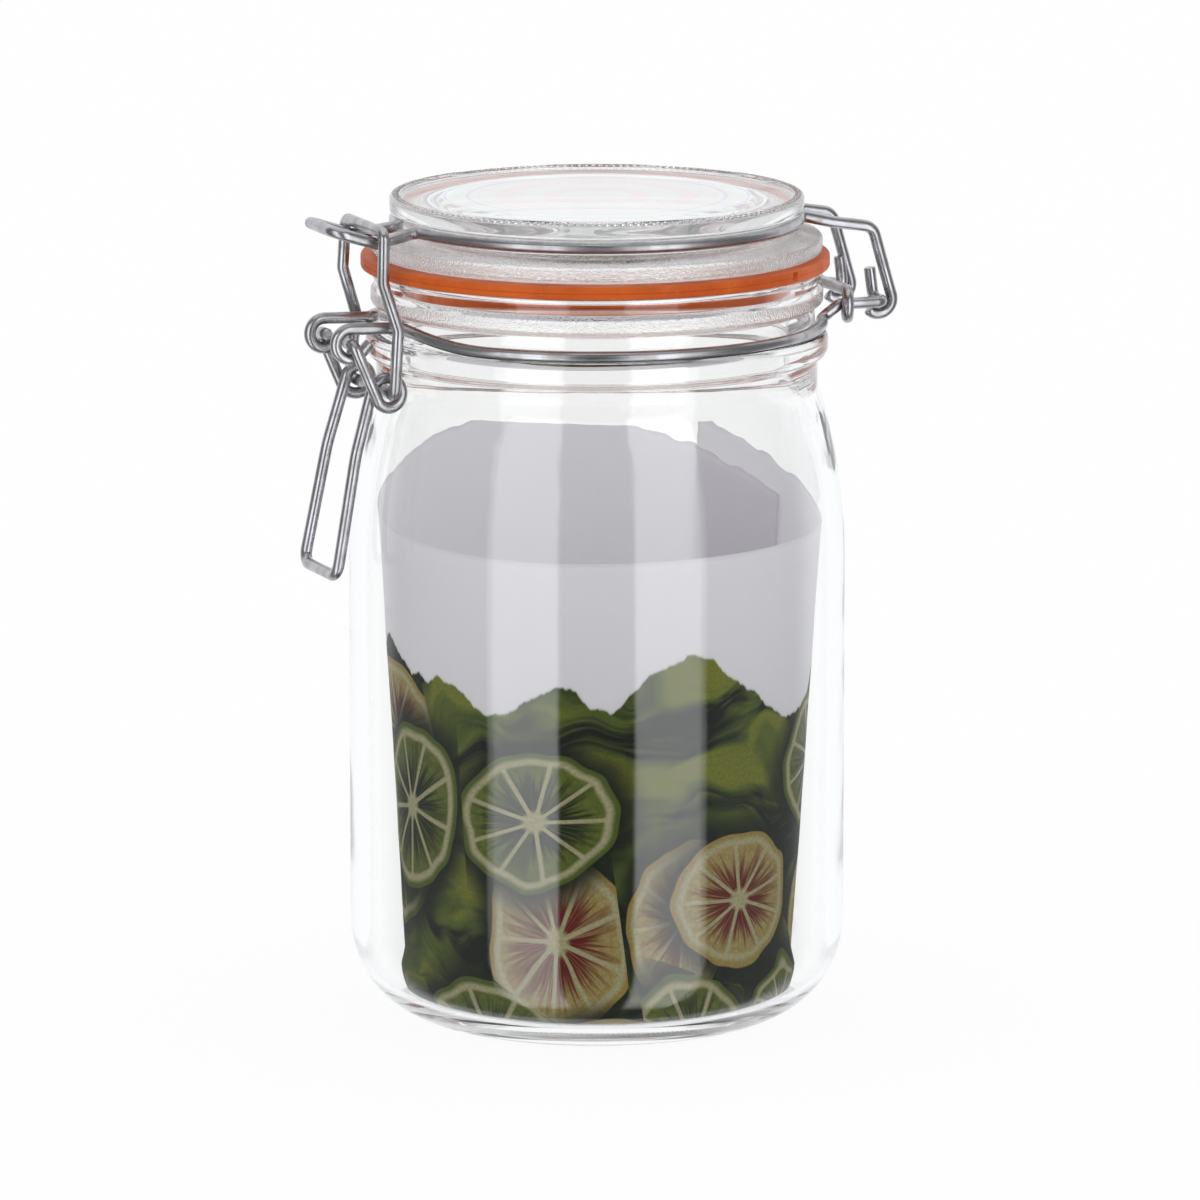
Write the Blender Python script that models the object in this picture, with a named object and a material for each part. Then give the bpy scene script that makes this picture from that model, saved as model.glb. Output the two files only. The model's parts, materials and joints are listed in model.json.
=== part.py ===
"""Clip-top preserving jar of about one litre, in metres, +Z up, standing on Z = 0.

The jar axis is the Z axis. The lid hinges at +X and the clip closes at -X.
Every wire piece is round wire that follows one bent line.
"""

import bmesh
import bpy
from math import acos, asin, atan2, ceil, cos, pi, radians, sin, sqrt, tan
from mathutils import Vector

for leftover in list(bpy.data.objects):
    bpy.data.objects.remove(leftover, do_unlink=True)

# Driving dimensions of the jar glass, from the base up
BODY_RADIUS = 0.0550
FOOT_RADIUS = 0.0350
FOOT_WIDTH = 0.0040
PUSH_UP = 0.0022
HEEL_HEIGHT = 0.0220
STRAIGHT_HEIGHT = 0.0810
SHOULDER_HEIGHT = 0.0390
NECK_RADIUS = 0.0488
NECK_HEIGHT = 0.0066
COLLAR_PROUD = 0.0023
COLLAR_HEIGHT = 0.0054
GROOVE_DEPTH = 0.0006
GROOVE_HEIGHT = 0.0062
RIM_PROUD = 0.0018
RIM_HEIGHT = 0.0078
RIM_WAIST_DEPTH = 0.0007
NECK_WALL = 0.0057
WALL = 0.0040
FLOOR = 0.0046
INNER_HEEL_RADIUS = 0.0130
GLASS_EDGE = 0.0009
COLLAR_EDGE = 0.0016
PUSH_UP_EDGE = 0.0040

# Driving dimensions of the rubber seal
SEAL_OVERHANG = 0.0023
SEAL_BORE_GAP = 0.0007
SEAL_THICKNESS = 0.0028
SEAL_EDGE = 0.0005

# Driving dimensions of the lid glass, from the seal up
FLANGE_INSET = 0.0002
FLANGE_HEIGHT = 0.0046
SHELF_RISE = 0.0010
LID_GROOVE_DEPTH = 0.0028
LID_GROOVE_HEIGHT = 0.0032
CROWN_INSET = 0.0040
CROWN_HEIGHT = 0.0040
CROWN_RIDGE_WIDTH = 0.0018
CROWN_PANEL_DEPTH = 0.0006
LID_TOP_THICKNESS = 0.0042
PLUG_WALL = 0.0018
PLUG_DEPTH = 0.0018
PLUG_CLEARANCE = 0.0010
CEILING_EDGE = 0.0050

# Driving dimensions of the wire and its gaps
WIRE_RADIUS = 0.0013
REST_GAP = 0.0003
RUNNING_GAP = 0.0004
TIGHT_BEND = 0.0022
PIN_BEND = 0.0019
SOFT_BEND = 0.0030

# Driving dimensions of the clip on the -X side
EYE_BEND = 0.0033
EYE_SPREAD = 0.0083
EYE_REACH = 0.0098
EYE_TAIL = 0.0032
PIN_TAIL = 0.0010
CRANK_DROP = 0.0110
CRANK_INSET = 0.0082
LOOP_BEND = 0.0032
HANDLE_LENGTH = 0.0400
HANDLE_STANDOFF = 0.0102
HANDLE_SPREAD = 0.0105
HANDLE_BOW = 0.0009
HANDLE_SWEEP = 0.0300
BAIL_TOP_SPREAD = 0.0122
BAIL_KINK = 0.0018
BAIL_KINK_BACK = 0.0010
BAIL_BAR_REACH = 0.0022
BAIL_BAR_RISE = 0.0013
TONGUE_ROOT_SPREAD = 0.0053
TONGUE_SPREAD = 0.0090
TONGUE_REACH = 0.0103
TONGUE_RISE = 0.0033

# Driving dimensions of the hinge on the +X side
HINGE_REACH = 0.0103
HINGE_BAR_SPREAD = 0.0150
HINGE_RISE = 0.0030
HINGE_FOOT_REACH = 0.0017
HOOK_BEND = 0.0032
HOOK_SPREAD = 0.0117
STUB_HEIGHT = 0.0068
STUB_LEAN = 0.0009
LID_ARM_REACH = 0.0015
LID_ARM_DROP = 0.0036
TIE_INSET = 0.0089

# Driving dimensions of the rolled paper insert
PAPER_FOOT_INSET = 0.0080
PAPER_CLEARANCE = 0.0005
PAPER_THICKNESS = 0.0004
PAPER_LAP_GAP = 0.0006
PAPER_HEIGHT = 0.1074
PAPER_CLIMB = 0.0063
PAPER_TILT = 0.0100
PAPER_RIPPLE = 0.0023

# Angles, counts and shares
AROUND = 48
EDGE_STEP = radians(45)
ARC_STEP = radians(30)
RING_STEP = radians(7.5)
COIL_STEP = radians(24)
EYE_END = radians(315)
HOOK_START = radians(222)
TIE_EYE_END = radians(-170)
TIE_TURN = radians(20)
RING_RISE_ANGLE = radians(40)
HEEL_STEPS = 7
SHOULDER_STEPS = 7
INNER_HEEL_STEPS = 5
BAIL_KINK_SHARE = 0.69
BAIL_LOW_SHARE = 0.40
HANDLE_BOW_SHARE = 0.35
TONGUE_DIP_SPREAD_SHARE = 0.9
RING_CLEAR_SHARE = 1.5
PAPER_TURN = radians(392)
PAPER_START = radians(7.5)
PAPER_HIGH_SIDE = radians(90)
PAPER_COLUMNS = 64
SMOOTH_ANGLE = radians(40)

# Smallest distance at which two mesh points are one
MERGE_DISTANCE = 0.000001

# Heights that follow from the jar glass
SHOULDER_BASE = HEEL_HEIGHT + STRAIGHT_HEIGHT
NECK_BASE = SHOULDER_BASE + SHOULDER_HEIGHT
COLLAR_BASE = NECK_BASE + NECK_HEIGHT
COLLAR_TOP = COLLAR_BASE + COLLAR_HEIGHT
RIM_BASE = COLLAR_TOP + GROOVE_HEIGHT
RIM_TOP = RIM_BASE + RIM_HEIGHT
GROOVE_RADIUS = NECK_RADIUS - GROOVE_DEPTH
COLLAR_RADIUS = NECK_RADIUS + COLLAR_PROUD
RIM_RADIUS = GROOVE_RADIUS + RIM_PROUD
MOUTH_RADIUS = GROOVE_RADIUS - NECK_WALL
BORE_RADIUS = BODY_RADIUS - WALL

# Heights and radii that follow from the seal and the lid glass
SEAL_BASE = RIM_TOP + REST_GAP
SEAL_TOP = SEAL_BASE + SEAL_THICKNESS
SEAL_RADIUS = RIM_RADIUS + SEAL_OVERHANG
SEAL_BORE = MOUTH_RADIUS + SEAL_BORE_GAP
LID_BASE = SEAL_TOP + REST_GAP
FLANGE_TOP = LID_BASE + FLANGE_HEIGHT
FLANGE_EDGE_TOP = FLANGE_TOP - SHELF_RISE
SHELF_TOP = FLANGE_TOP + SHELF_RISE
CROWN_BASE = SHELF_TOP + LID_GROOVE_HEIGHT
CROWN_TOP = CROWN_BASE + CROWN_HEIGHT
FLANGE_RADIUS = RIM_RADIUS - FLANGE_INSET
CROWN_RADIUS = FLANGE_RADIUS - CROWN_INSET
LID_GROOVE_RADIUS = CROWN_RADIUS - LID_GROOVE_DEPTH
PLUG_RADIUS = MOUTH_RADIUS - PLUG_CLEARANCE

# Lines that the wires follow
RING_RADIUS = GROOVE_RADIUS + REST_GAP + WIRE_RADIUS
RING_LEVEL = COLLAR_TOP + REST_GAP + WIRE_RADIUS
ARM_LEVEL = RIM_BASE - REST_GAP - WIRE_RADIUS
LID_RING_RADIUS = LID_GROOVE_RADIUS + REST_GAP + WIRE_RADIUS
LID_RING_LEVEL = SHELF_TOP + REST_GAP + WIRE_RADIUS
WIRE_PITCH = 2 * WIRE_RADIUS + RUNNING_GAP

# Pivot of the lever in the two eyes, and of the bail in the lever's two loops
LEVER_PIVOT = Vector((-(RIM_RADIUS + EYE_REACH + WIRE_RADIUS), 0, ARM_LEVEL - EYE_BEND))
BAIL_PIVOT = LEVER_PIVOT + Vector((CRANK_INSET, 0, -CRANK_DROP))
CRANK_SPREAD = EYE_SPREAD + WIRE_PITCH
BAIL_SPREAD = CRANK_SPREAD + WIRE_PITCH

# Middle of the bail's top bar, which lies over the tongue
BAIL_BAR = Vector((-(SEAL_RADIUS + BAIL_BAR_REACH), 0, LID_RING_LEVEL + BAIL_BAR_RISE))

# Pivot of the lid on the two hinge pins
HINGE_PIVOT = Vector((SEAL_RADIUS + HINGE_REACH, 0, RING_LEVEL + HINGE_RISE))


def bent_line(corners, arc_step=ARC_STEP):
    """Points along a line whose corners, given as (point, bend radius), are rounded off."""
    path = []
    for index, (corner, radius) in enumerate(corners):
        corner = Vector(corner)
        if radius == 0 or index in (0, len(corners) - 1):
            path.append(corner)
            continue
        back = (Vector(corners[index - 1][0]) - corner).normalized()
        ahead = (Vector(corners[index + 1][0]) - corner).normalized()
        opening = back.angle(ahead)
        centre = corner + (back + ahead).normalized() * radius / sin(opening / 2)
        first = (corner + back * radius / tan(opening / 2) - centre).normalized()
        last = (corner + ahead * radius / tan(opening / 2) - centre).normalized()
        across = (last - first * first.dot(last)).normalized()
        turn = pi - opening
        steps = max(2, ceil(turn / arc_step))
        for step in range(steps + 1):
            angle = turn * step / steps
            path.append(centre + radius * (cos(angle) * first + sin(angle) * across))
    return path


def sharp(points):
    """The points as corners that aren't rounded off."""
    return [(point, 0) for point in points]


def arc(centre, right, up, radius, start, end, step, drift=(0, 0, 0)):
    """Points of an arc from angle start to angle end, moving evenly by drift on the way."""
    steps = ceil(abs(end - start) / step)
    points = []
    for count in range(steps + 1):
        share = count / steps
        angle = start + (end - start) * share
        outward = cos(angle) * Vector(right) + sin(angle) * Vector(up)
        points.append(Vector(centre) + radius * outward + share * Vector(drift))
    return points


def material(name, colour, roughness, metallic=0.0, transmission=0.0):
    made = bpy.data.materials.new(name)
    made.use_nodes = True
    shader = made.node_tree.nodes["Principled BSDF"]
    shader.inputs["Base Color"].default_value = (*colour, 1)
    shader.inputs["Roughness"].default_value = roughness
    shader.inputs["Metallic"].default_value = metallic
    shader.inputs["Transmission Weight"].default_value = transmission
    return made


def pivot(name, location):
    """An empty on a joint's axis, which carries the pieces that turn about it."""
    empty = bpy.data.objects.new(name, None)
    empty.location = location
    bpy.context.collection.objects.link(empty)
    return empty


def place_of(carrier):
    """Where a carrier stands, through the carriers that carry it."""
    place = Vector((0, 0, 0))
    while carrier:
        place += carrier.location
        carrier = carrier.parent
    return place


def link(name, data, finish, carrier=None):
    made = bpy.data.objects.new(name, data)
    made.parent = carrier
    data.materials.append(finish)
    bpy.context.collection.objects.link(made)
    return made


def turned(name, outline, finish, carrier=None):
    """A body of revolution about the jar axis, from an outline of (radius, height, edge radius)."""
    corners = [(Vector((radius, 0, height)), edge) for radius, height, edge in outline]
    closed_ring = outline[0][0] > 0
    if closed_ring:
        corners.append(corners[0])
    shape = bmesh.new()
    profile = [shape.verts.new(point) for point in bent_line(corners, EDGE_STEP)]
    for first, second in zip(profile, profile[1:]):
        shape.edges.new((first, second))
    bmesh.ops.spin(
        shape,
        geom=shape.verts[:] + shape.edges[:],
        cent=(0, 0, 0),
        axis=(0, 0, 1),
        angle=2 * pi,
        steps=AROUND,
        use_merge=True,
    )
    bmesh.ops.remove_doubles(shape, verts=shape.verts, dist=MERGE_DISTANCE)
    bmesh.ops.recalc_face_normals(shape, faces=shape.faces)
    bmesh.ops.translate(shape, verts=shape.verts, vec=-place_of(carrier))
    mesh = bpy.data.meshes.new(name)
    shape.to_mesh(mesh)
    shape.free()
    mesh.shade_smooth()
    mesh.set_sharp_from_angle(angle=SMOOTH_ANGLE)
    return link(name, mesh, finish, carrier)


def wire(name, corners, finish, carrier=None):
    """Round wire with cut ends along a bent line."""
    origin = place_of(carrier)
    path = bent_line(corners)
    curve = bpy.data.curves.new(name, "CURVE")
    curve.dimensions = "3D"
    curve.bevel_depth = WIRE_RADIUS
    curve.bevel_resolution = 2
    curve.use_fill_caps = True
    spline = curve.splines.new("POLY")
    spline.points.add(len(path) - 1)
    for point, place in zip(spline.points, path):
        point.co = (*(place - origin), 1)
    spline.use_smooth = True
    return link(name, curve, finish, carrier)


def mirrored(corners):
    """The corners of the other half of a piece that is alike on both sides, in reverse order."""
    return [(Vector((point[0], -point[1], point[2])), radius) for point, radius in reversed(corners)]


def heel_points():
    """Outer heel of the jar, a quarter ellipse from the foot ring to the straight wall."""
    heel_width = BODY_RADIUS - FOOT_RADIUS
    for step in range(HEEL_STEPS + 1):
        angle = pi / 2 * step / HEEL_STEPS
        yield FOOT_RADIUS + heel_width * sin(angle), HEEL_HEIGHT * (1 - cos(angle)), 0


def shoulder_points(body_radius, neck_radius):
    """A shoulder that falls in as the square of its height."""
    for step in range(1, SHOULDER_STEPS + 1):
        share = step / SHOULDER_STEPS
        radius = body_radius - (body_radius - neck_radius) * share**2
        yield radius, SHOULDER_BASE + SHOULDER_HEIGHT * share, 0


def inner_heel_points():
    """Rounded corner between the jar's floor and its inner wall, from the wall down."""
    for step in range(INNER_HEEL_STEPS + 1):
        angle = pi / 2 * step / INNER_HEEL_STEPS
        radius = BORE_RADIUS - INNER_HEEL_RADIUS * (1 - cos(angle))
        yield radius, FLOOR + INNER_HEEL_RADIUS * (1 - sin(angle)), 0


def bore_at(height):
    """Inner radius of the jar at a height above its inner heel."""
    shoulder_share = min(max((height - SHOULDER_BASE) / SHOULDER_HEIGHT, 0), 1)
    neck_share = min(max((height - NECK_BASE) / NECK_HEIGHT, 0), 1)
    neck_bore = NECK_RADIUS - WALL
    shoulder_bore = BORE_RADIUS - (BORE_RADIUS - neck_bore) * shoulder_share**2
    return shoulder_bore - (neck_bore - MOUTH_RADIUS) * neck_share


def jar_outline():
    waist = RIM_RADIUS - RIM_WAIST_DEPTH
    waist_level = (RIM_BASE + RIM_TOP) / 2
    foot_bore = FOOT_RADIUS - FOOT_WIDTH
    outside = [
        (0, PUSH_UP, 0),
        (foot_bore - PUSH_UP, PUSH_UP, PUSH_UP_EDGE),
        (foot_bore, 0, 0),
        *heel_points(),
        *shoulder_points(BODY_RADIUS, NECK_RADIUS),
        (NECK_RADIUS, COLLAR_BASE, GLASS_EDGE),
        (COLLAR_RADIUS, COLLAR_BASE, COLLAR_EDGE),
        (COLLAR_RADIUS, COLLAR_TOP, COLLAR_EDGE),
        (GROOVE_RADIUS, COLLAR_TOP, 0),
        (GROOVE_RADIUS, RIM_BASE, 0),
        (RIM_RADIUS, RIM_BASE, GLASS_EDGE),
        (RIM_RADIUS, waist_level - RIM_WAIST_DEPTH, 0),
        (waist, waist_level, 0),
        (RIM_RADIUS, waist_level + RIM_WAIST_DEPTH, 0),
        (RIM_RADIUS, RIM_TOP, GLASS_EDGE),
    ]
    inside = [
        (MOUTH_RADIUS, RIM_TOP, GLASS_EDGE),
        (MOUTH_RADIUS, COLLAR_BASE, 0),
        *reversed(list(shoulder_points(BORE_RADIUS, NECK_RADIUS - WALL))),
        (BORE_RADIUS, SHOULDER_BASE, 0),
        *inner_heel_points(),
        (0, FLOOR, 0),
    ]
    return outside + inside


def lid_outline():
    ceiling = CROWN_TOP - CROWN_PANEL_DEPTH - LID_TOP_THICKNESS
    panel_radius = CROWN_RADIUS - CROWN_RIDGE_WIDTH - GLASS_EDGE
    panel = CROWN_TOP - CROWN_PANEL_DEPTH
    plug_bore = PLUG_RADIUS - PLUG_WALL
    return [
        (0, ceiling, 0),
        (plug_bore, ceiling, CEILING_EDGE),
        (plug_bore, LID_BASE - PLUG_DEPTH, 0),
        (PLUG_RADIUS, LID_BASE - PLUG_DEPTH, GLASS_EDGE),
        (PLUG_RADIUS, LID_BASE, 0),
        (FLANGE_RADIUS, LID_BASE, GLASS_EDGE),
        (FLANGE_RADIUS, FLANGE_EDGE_TOP, GLASS_EDGE),
        (LID_GROOVE_RADIUS, SHELF_TOP, GLASS_EDGE),
        (LID_GROOVE_RADIUS, CROWN_BASE, GLASS_EDGE),
        (CROWN_RADIUS, CROWN_BASE, GLASS_EDGE),
        (CROWN_RADIUS, CROWN_TOP, GLASS_EDGE),
        (panel_radius + CROWN_PANEL_DEPTH, CROWN_TOP, 0),
        (panel_radius, panel, 0),
        (0, panel, 0),
    ]


def seal_outline():
    return [
        (SEAL_BORE, SEAL_BASE, 0),
        (SEAL_RADIUS, SEAL_BASE, SEAL_EDGE),
        (SEAL_RADIUS, SEAL_TOP, SEAL_EDGE),
        (SEAL_BORE, SEAL_TOP, 0),
    ]


def ring_corners(radius, level, first_spread, last_spread, rise=0):
    """Half a ring at +Y, from the clip side to the hinge side, rising towards the clip."""
    first_angle = pi - asin(first_spread / radius)
    last_angle = asin(last_spread / radius)
    clear_angle = RING_CLEAR_SHARE * TIGHT_BEND / radius
    sweep = first_angle - last_angle - 2 * clear_angle
    steps = ceil(sweep / RING_STEP)
    angles = [first_angle]
    for step in range(steps + 1):
        angles.append(first_angle - clear_angle - sweep * step / steps)
    angles.append(last_angle)
    corners = []
    for angle in angles:
        rising = max(0, 1 - (pi - angle) / RING_RISE_ANGLE)
        height = level + rise * sin(pi / 2 * rising) ** 2
        corners.append(((radius * cos(angle), radius * sin(angle), height), 0))
    corners[0] = (corners[0][0], TIGHT_BEND)
    corners[-1] = (corners[-1][0], TIGHT_BEND)
    return corners


def neck_wire_corners():
    """The half of the neck wire at +Y: eye, arm, half ring, hinge bar, hinge pin and stub."""
    eye = LEVER_PIVOT + Vector((0, EYE_SPREAD, 0))
    loop = arc(eye, (1, 0, 0), (0, 0, 1), EYE_BEND, EYE_END, pi / 2, COIL_STEP)
    tail = loop[0] + EYE_TAIL * Vector((-sin(EYE_END), 0, cos(EYE_END)))
    ring = ring_corners(RING_RADIUS, RING_LEVEL, EYE_SPREAD, HINGE_BAR_SPREAD, ARM_LEVEL - RING_LEVEL)
    bar = Vector((HINGE_PIVOT.x, HINGE_BAR_SPREAD, HINGE_PIVOT.z))
    pin_end = Vector((HINGE_PIVOT.x, HOOK_SPREAD - WIRE_PITCH, HINGE_PIVOT.z))
    bar_root = Vector((RIM_RADIUS + HINGE_FOOT_REACH, HINGE_BAR_SPREAD, HINGE_PIVOT.z))
    stub_end = pin_end + Vector((-STUB_LEAN, 0, STUB_HEIGHT))
    return [
        (tail, 0),
        *sharp(loop),
        *ring,
        (bar_root, TIGHT_BEND),
        (bar, PIN_BEND),
        (pin_end, PIN_BEND),
        (stub_end, 0),
    ]


def hinge_tie_corners():
    """Half of the tie that hooks round both hinge bars, at +Y, from its eye to the middle.

    The eye is turned a little from square to the bar, and is wider by as much to clear it.
    """
    centre = Vector((HINGE_PIVOT.x - TIE_INSET, HINGE_BAR_SPREAD, HINGE_PIVOT.z))
    across = (-tan(TIE_TURN), 1, 0)
    return sharp(arc(centre, across, (0, 0, 1), WIRE_PITCH, TIE_EYE_END, pi / 2, COIL_STEP))


def lid_wire_corners():
    """The half of the lid wire at +Y: tongue, half ring, arm and hook."""
    dip_spread = TONGUE_SPREAD * TONGUE_DIP_SPREAD_SHARE
    under_bar = Vector((BAIL_BAR.x, dip_spread, BAIL_BAR.z - WIRE_PITCH))
    tip = Vector((BAIL_BAR.x - TONGUE_REACH, TONGUE_SPREAD, under_bar.z + TONGUE_RISE))
    ring = ring_corners(LID_RING_RADIUS, LID_RING_LEVEL, TONGUE_ROOT_SPREAD, HOOK_SPREAD)
    arm_level = FLANGE_EDGE_TOP + REST_GAP + WIRE_RADIUS
    over_seal = Vector((FLANGE_RADIUS + LID_ARM_REACH, HOOK_SPREAD, arm_level))
    shoulder = Vector((HINGE_PIVOT.x - LID_ARM_REACH, HOOK_SPREAD, LID_RING_LEVEL - LID_ARM_DROP))
    hook_centre = HINGE_PIVOT + Vector((0, HOOK_SPREAD, 0))
    run = shoulder - hook_centre
    lean = atan2(run.z, run.x) - acos(HOOK_BEND / sqrt(run.x**2 + run.z**2))
    hook = arc(hook_centre, (1, 0, 0), (0, 0, 1), HOOK_BEND, lean, HOOK_START - 2 * pi, COIL_STEP)
    return [
        (tip, SOFT_BEND),
        (under_bar, SOFT_BEND),
        *ring,
        (over_seal, 0),
        (shoulder, SOFT_BEND),
        *sharp(hook),
    ]


def lever_corners():
    """Half of the lever at +Y: pivot pin, crank, loop round the bail's pin and handle leg."""
    pin_end = LEVER_PIVOT + Vector((0, EYE_SPREAD - WIRE_RADIUS - PIN_TAIL, 0))
    crank_top = LEVER_PIVOT + Vector((0, CRANK_SPREAD, 0))
    loop_centre = BAIL_PIVOT + Vector((0, CRANK_SPREAD, 0))
    handle_x = -(BODY_RADIUS + HANDLE_STANDOFF)
    handle_end = Vector((handle_x, HANDLE_SPREAD, BAIL_PIVOT.z - HANDLE_LENGTH))
    to_loop = loop_centre - crank_top
    crank_angle = atan2(to_loop.z, to_loop.x) - asin(LOOP_BEND / to_loop.length)
    to_end = handle_end - BAIL_PIVOT
    reach = sqrt(to_end.x**2 + to_end.z**2)
    handle_angle = atan2(to_end.z, to_end.x) + asin(LOOP_BEND / reach)
    start = crank_angle - pi / 2
    end = handle_angle - pi / 2 + 2 * pi
    drift = (0, -WIRE_PITCH, 0)
    loop = arc(loop_centre, (1, 0, 0), (0, 0, 1), LOOP_BEND, start, end, COIL_STEP, drift)
    bow = loop[-1].lerp(handle_end, HANDLE_BOW_SHARE) + Vector((-HANDLE_BOW, 0, 0))
    return [
        (pin_end, 0),
        (crank_top, PIN_BEND),
        *sharp(loop),
        (bow, HANDLE_SWEEP),
        (handle_end, SOFT_BEND),
    ]


def bail_corners():
    """Half of the bail at +Y: pin in the lever's loop, leg with its kink, and the top bar."""
    pin_end = BAIL_PIVOT + Vector((0, EYE_SPREAD - WIRE_RADIUS - PIN_TAIL, 0))
    pin_corner = BAIL_PIVOT + Vector((0, BAIL_SPREAD, 0))
    bar_corner = Vector((BAIL_BAR.x, BAIL_TOP_SPREAD, BAIL_BAR.z))
    low = pin_corner.lerp(bar_corner, BAIL_LOW_SHARE) + Vector((BAIL_KINK, 0, 0))
    kink = pin_corner.lerp(bar_corner, BAIL_KINK_SHARE) - Vector((BAIL_KINK_BACK, 0, 0))
    return [
        (pin_end, 0),
        (pin_corner, PIN_BEND),
        (low, SOFT_BEND),
        (kink, SOFT_BEND),
        (bar_corner, TIGHT_BEND),
    ]


def paper_row(shape, radius_at, height_at):
    """A chain of points round the rolled sheet, which winds outwards past one turn."""
    row = []
    for column in range(PAPER_COLUMNS + 1):
        angle = PAPER_START + PAPER_TURN * column / PAPER_COLUMNS
        turns = (angle - PAPER_START) / (2 * pi)
        turns_left = PAPER_TURN / (2 * pi) - turns
        radius = radius_at(angle, turns) - (PAPER_THICKNESS + PAPER_LAP_GAP) * turns_left
        row.append(shape.verts.new((radius * cos(angle), radius * sin(angle), height_at(angle, turns))))
    return [shape.edges.new(pair) for pair in zip(row, row[1:])]


def paper_sheet(name, finish):
    """A sheet rolled a little past one turn, which stands in the jar and leans on its shoulder."""
    foot_radius = BORE_RADIUS - PAPER_FOOT_INSET
    offset = foot_radius + PAPER_THICKNESS + REST_GAP - (BORE_RADIUS - INNER_HEEL_RADIUS)
    foot = FLOOR + INNER_HEEL_RADIUS - sqrt(INNER_HEEL_RADIUS**2 - offset**2) + REST_GAP

    def top_edge(angle, turns):
        from_high_side = angle - PAPER_HIGH_SIDE
        slant = PAPER_TILT * cos(from_high_side) + PAPER_RIPPLE * cos(2 * from_high_side)
        return foot + PAPER_HEIGHT + PAPER_CLIMB * turns + slant

    def top_radius(angle, turns):
        highest = top_edge(angle, PAPER_TURN / (2 * pi))
        share = (top_edge(angle, turns) - foot) / (highest - foot)
        return foot_radius + (bore_at(highest) - PAPER_CLEARANCE - foot_radius) * share

    shape = bmesh.new()
    edges = paper_row(shape, lambda angle, turns: foot_radius, lambda angle, turns: foot)
    edges += paper_row(shape, top_radius, top_edge)
    bmesh.ops.bridge_loops(shape, edges=edges)
    mesh = bpy.data.meshes.new(name)
    shape.to_mesh(mesh)
    shape.free()
    mesh.shade_smooth()
    sheet = link(name, mesh, finish)
    thickness = sheet.modifiers.new("Thickness", "SOLIDIFY")
    thickness.thickness = PAPER_THICKNESS
    thickness.offset = 0
    return sheet


# Finishes
clear_glass = material("clear_glass", (0.93, 0.97, 0.95), 0.02, transmission=1.0)
steel_wire = material("steel_wire", (0.60, 0.60, 0.61), 0.22, metallic=1.0)
orange_rubber = material("orange_rubber", (0.72, 0.16, 0.03), 0.45)
white_paper = material("white_paper", (0.82, 0.82, 0.83), 0.60)

# Joint axes
lid_axis = pivot("lid_axis", HINGE_PIVOT)
lever_axis = pivot("lever_axis", LEVER_PIVOT)
bail_axis = pivot("bail_axis", BAIL_PIVOT - LEVER_PIVOT)
bail_axis.parent = lever_axis

# Glass and rubber
turned("jar_glass", jar_outline(), clear_glass)
turned("lid_glass", lid_outline(), clear_glass, lid_axis)
turned("rubber_seal", seal_outline(), orange_rubber, lid_axis)

# Neck wire, in two halves that the hinge tie and the lever hold together
wire("neck_wire_back", neck_wire_corners(), steel_wire)
wire("neck_wire_front", mirrored(neck_wire_corners()), steel_wire)
tie = hinge_tie_corners()
wire("hinge_tie", tie + mirrored(tie), steel_wire)

# Moving wires
lid_half = lid_wire_corners()
wire("lid_wire", list(reversed(lid_half)) + mirrored(list(reversed(lid_half))), steel_wire, lid_axis)
lever_half = lever_corners()
wire("lever", lever_half + mirrored(lever_half), steel_wire, lever_axis)
bail_half = bail_corners()
wire("bail", bail_half + mirrored(bail_half), steel_wire, bail_axis)

# Contents
paper_sheet("paper_insert", white_paper)
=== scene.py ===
# %% [markdown]
# A clip-top preserving jar, dressed for a white studio.
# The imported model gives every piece's place, and this lesson gives each piece its fine form
# and its finish: moulded glass, rubber, plated wire and printed paper.

# %% Load the frame
import bmesh
import bpy
import json
from math import acos, asin, atan2, ceil, cos, pi, radians, sin, sqrt, tan
from mathutils import Matrix, Vector


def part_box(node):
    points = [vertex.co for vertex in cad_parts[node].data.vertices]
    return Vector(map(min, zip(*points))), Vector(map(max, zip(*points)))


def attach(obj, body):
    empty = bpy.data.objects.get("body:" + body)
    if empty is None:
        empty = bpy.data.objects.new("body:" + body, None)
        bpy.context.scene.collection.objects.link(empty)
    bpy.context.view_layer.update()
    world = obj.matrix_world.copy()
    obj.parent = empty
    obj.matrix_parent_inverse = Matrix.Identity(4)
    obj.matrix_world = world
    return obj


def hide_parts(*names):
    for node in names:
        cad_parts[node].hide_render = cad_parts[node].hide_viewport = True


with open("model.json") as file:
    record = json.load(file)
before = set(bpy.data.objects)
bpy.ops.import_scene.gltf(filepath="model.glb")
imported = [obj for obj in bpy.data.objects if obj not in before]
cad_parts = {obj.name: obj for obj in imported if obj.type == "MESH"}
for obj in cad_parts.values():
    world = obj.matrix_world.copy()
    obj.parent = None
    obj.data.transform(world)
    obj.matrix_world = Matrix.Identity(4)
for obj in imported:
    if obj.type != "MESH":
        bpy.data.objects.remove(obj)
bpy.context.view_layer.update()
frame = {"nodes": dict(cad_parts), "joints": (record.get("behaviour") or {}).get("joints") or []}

print("pieces in the frame:", ", ".join(sorted(frame["nodes"])))

# %% [markdown]
# Sizes come first. What the frame can tell is read from its boxes and joints,
# so the fine pieces always stand where the plain ones do.
# The rest are the real jar's own small sizes, in metres.

# %% Sizes that the frame gives
jar_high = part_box("jar_glass")[1]
lid_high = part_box("lid_glass")[1]
seal_low, seal_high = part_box("rubber_seal")
paper_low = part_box("paper_insert")[0]
pivots = {joint["name"]: Vector(joint["pos_m"]) for joint in frame["joints"]}

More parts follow.
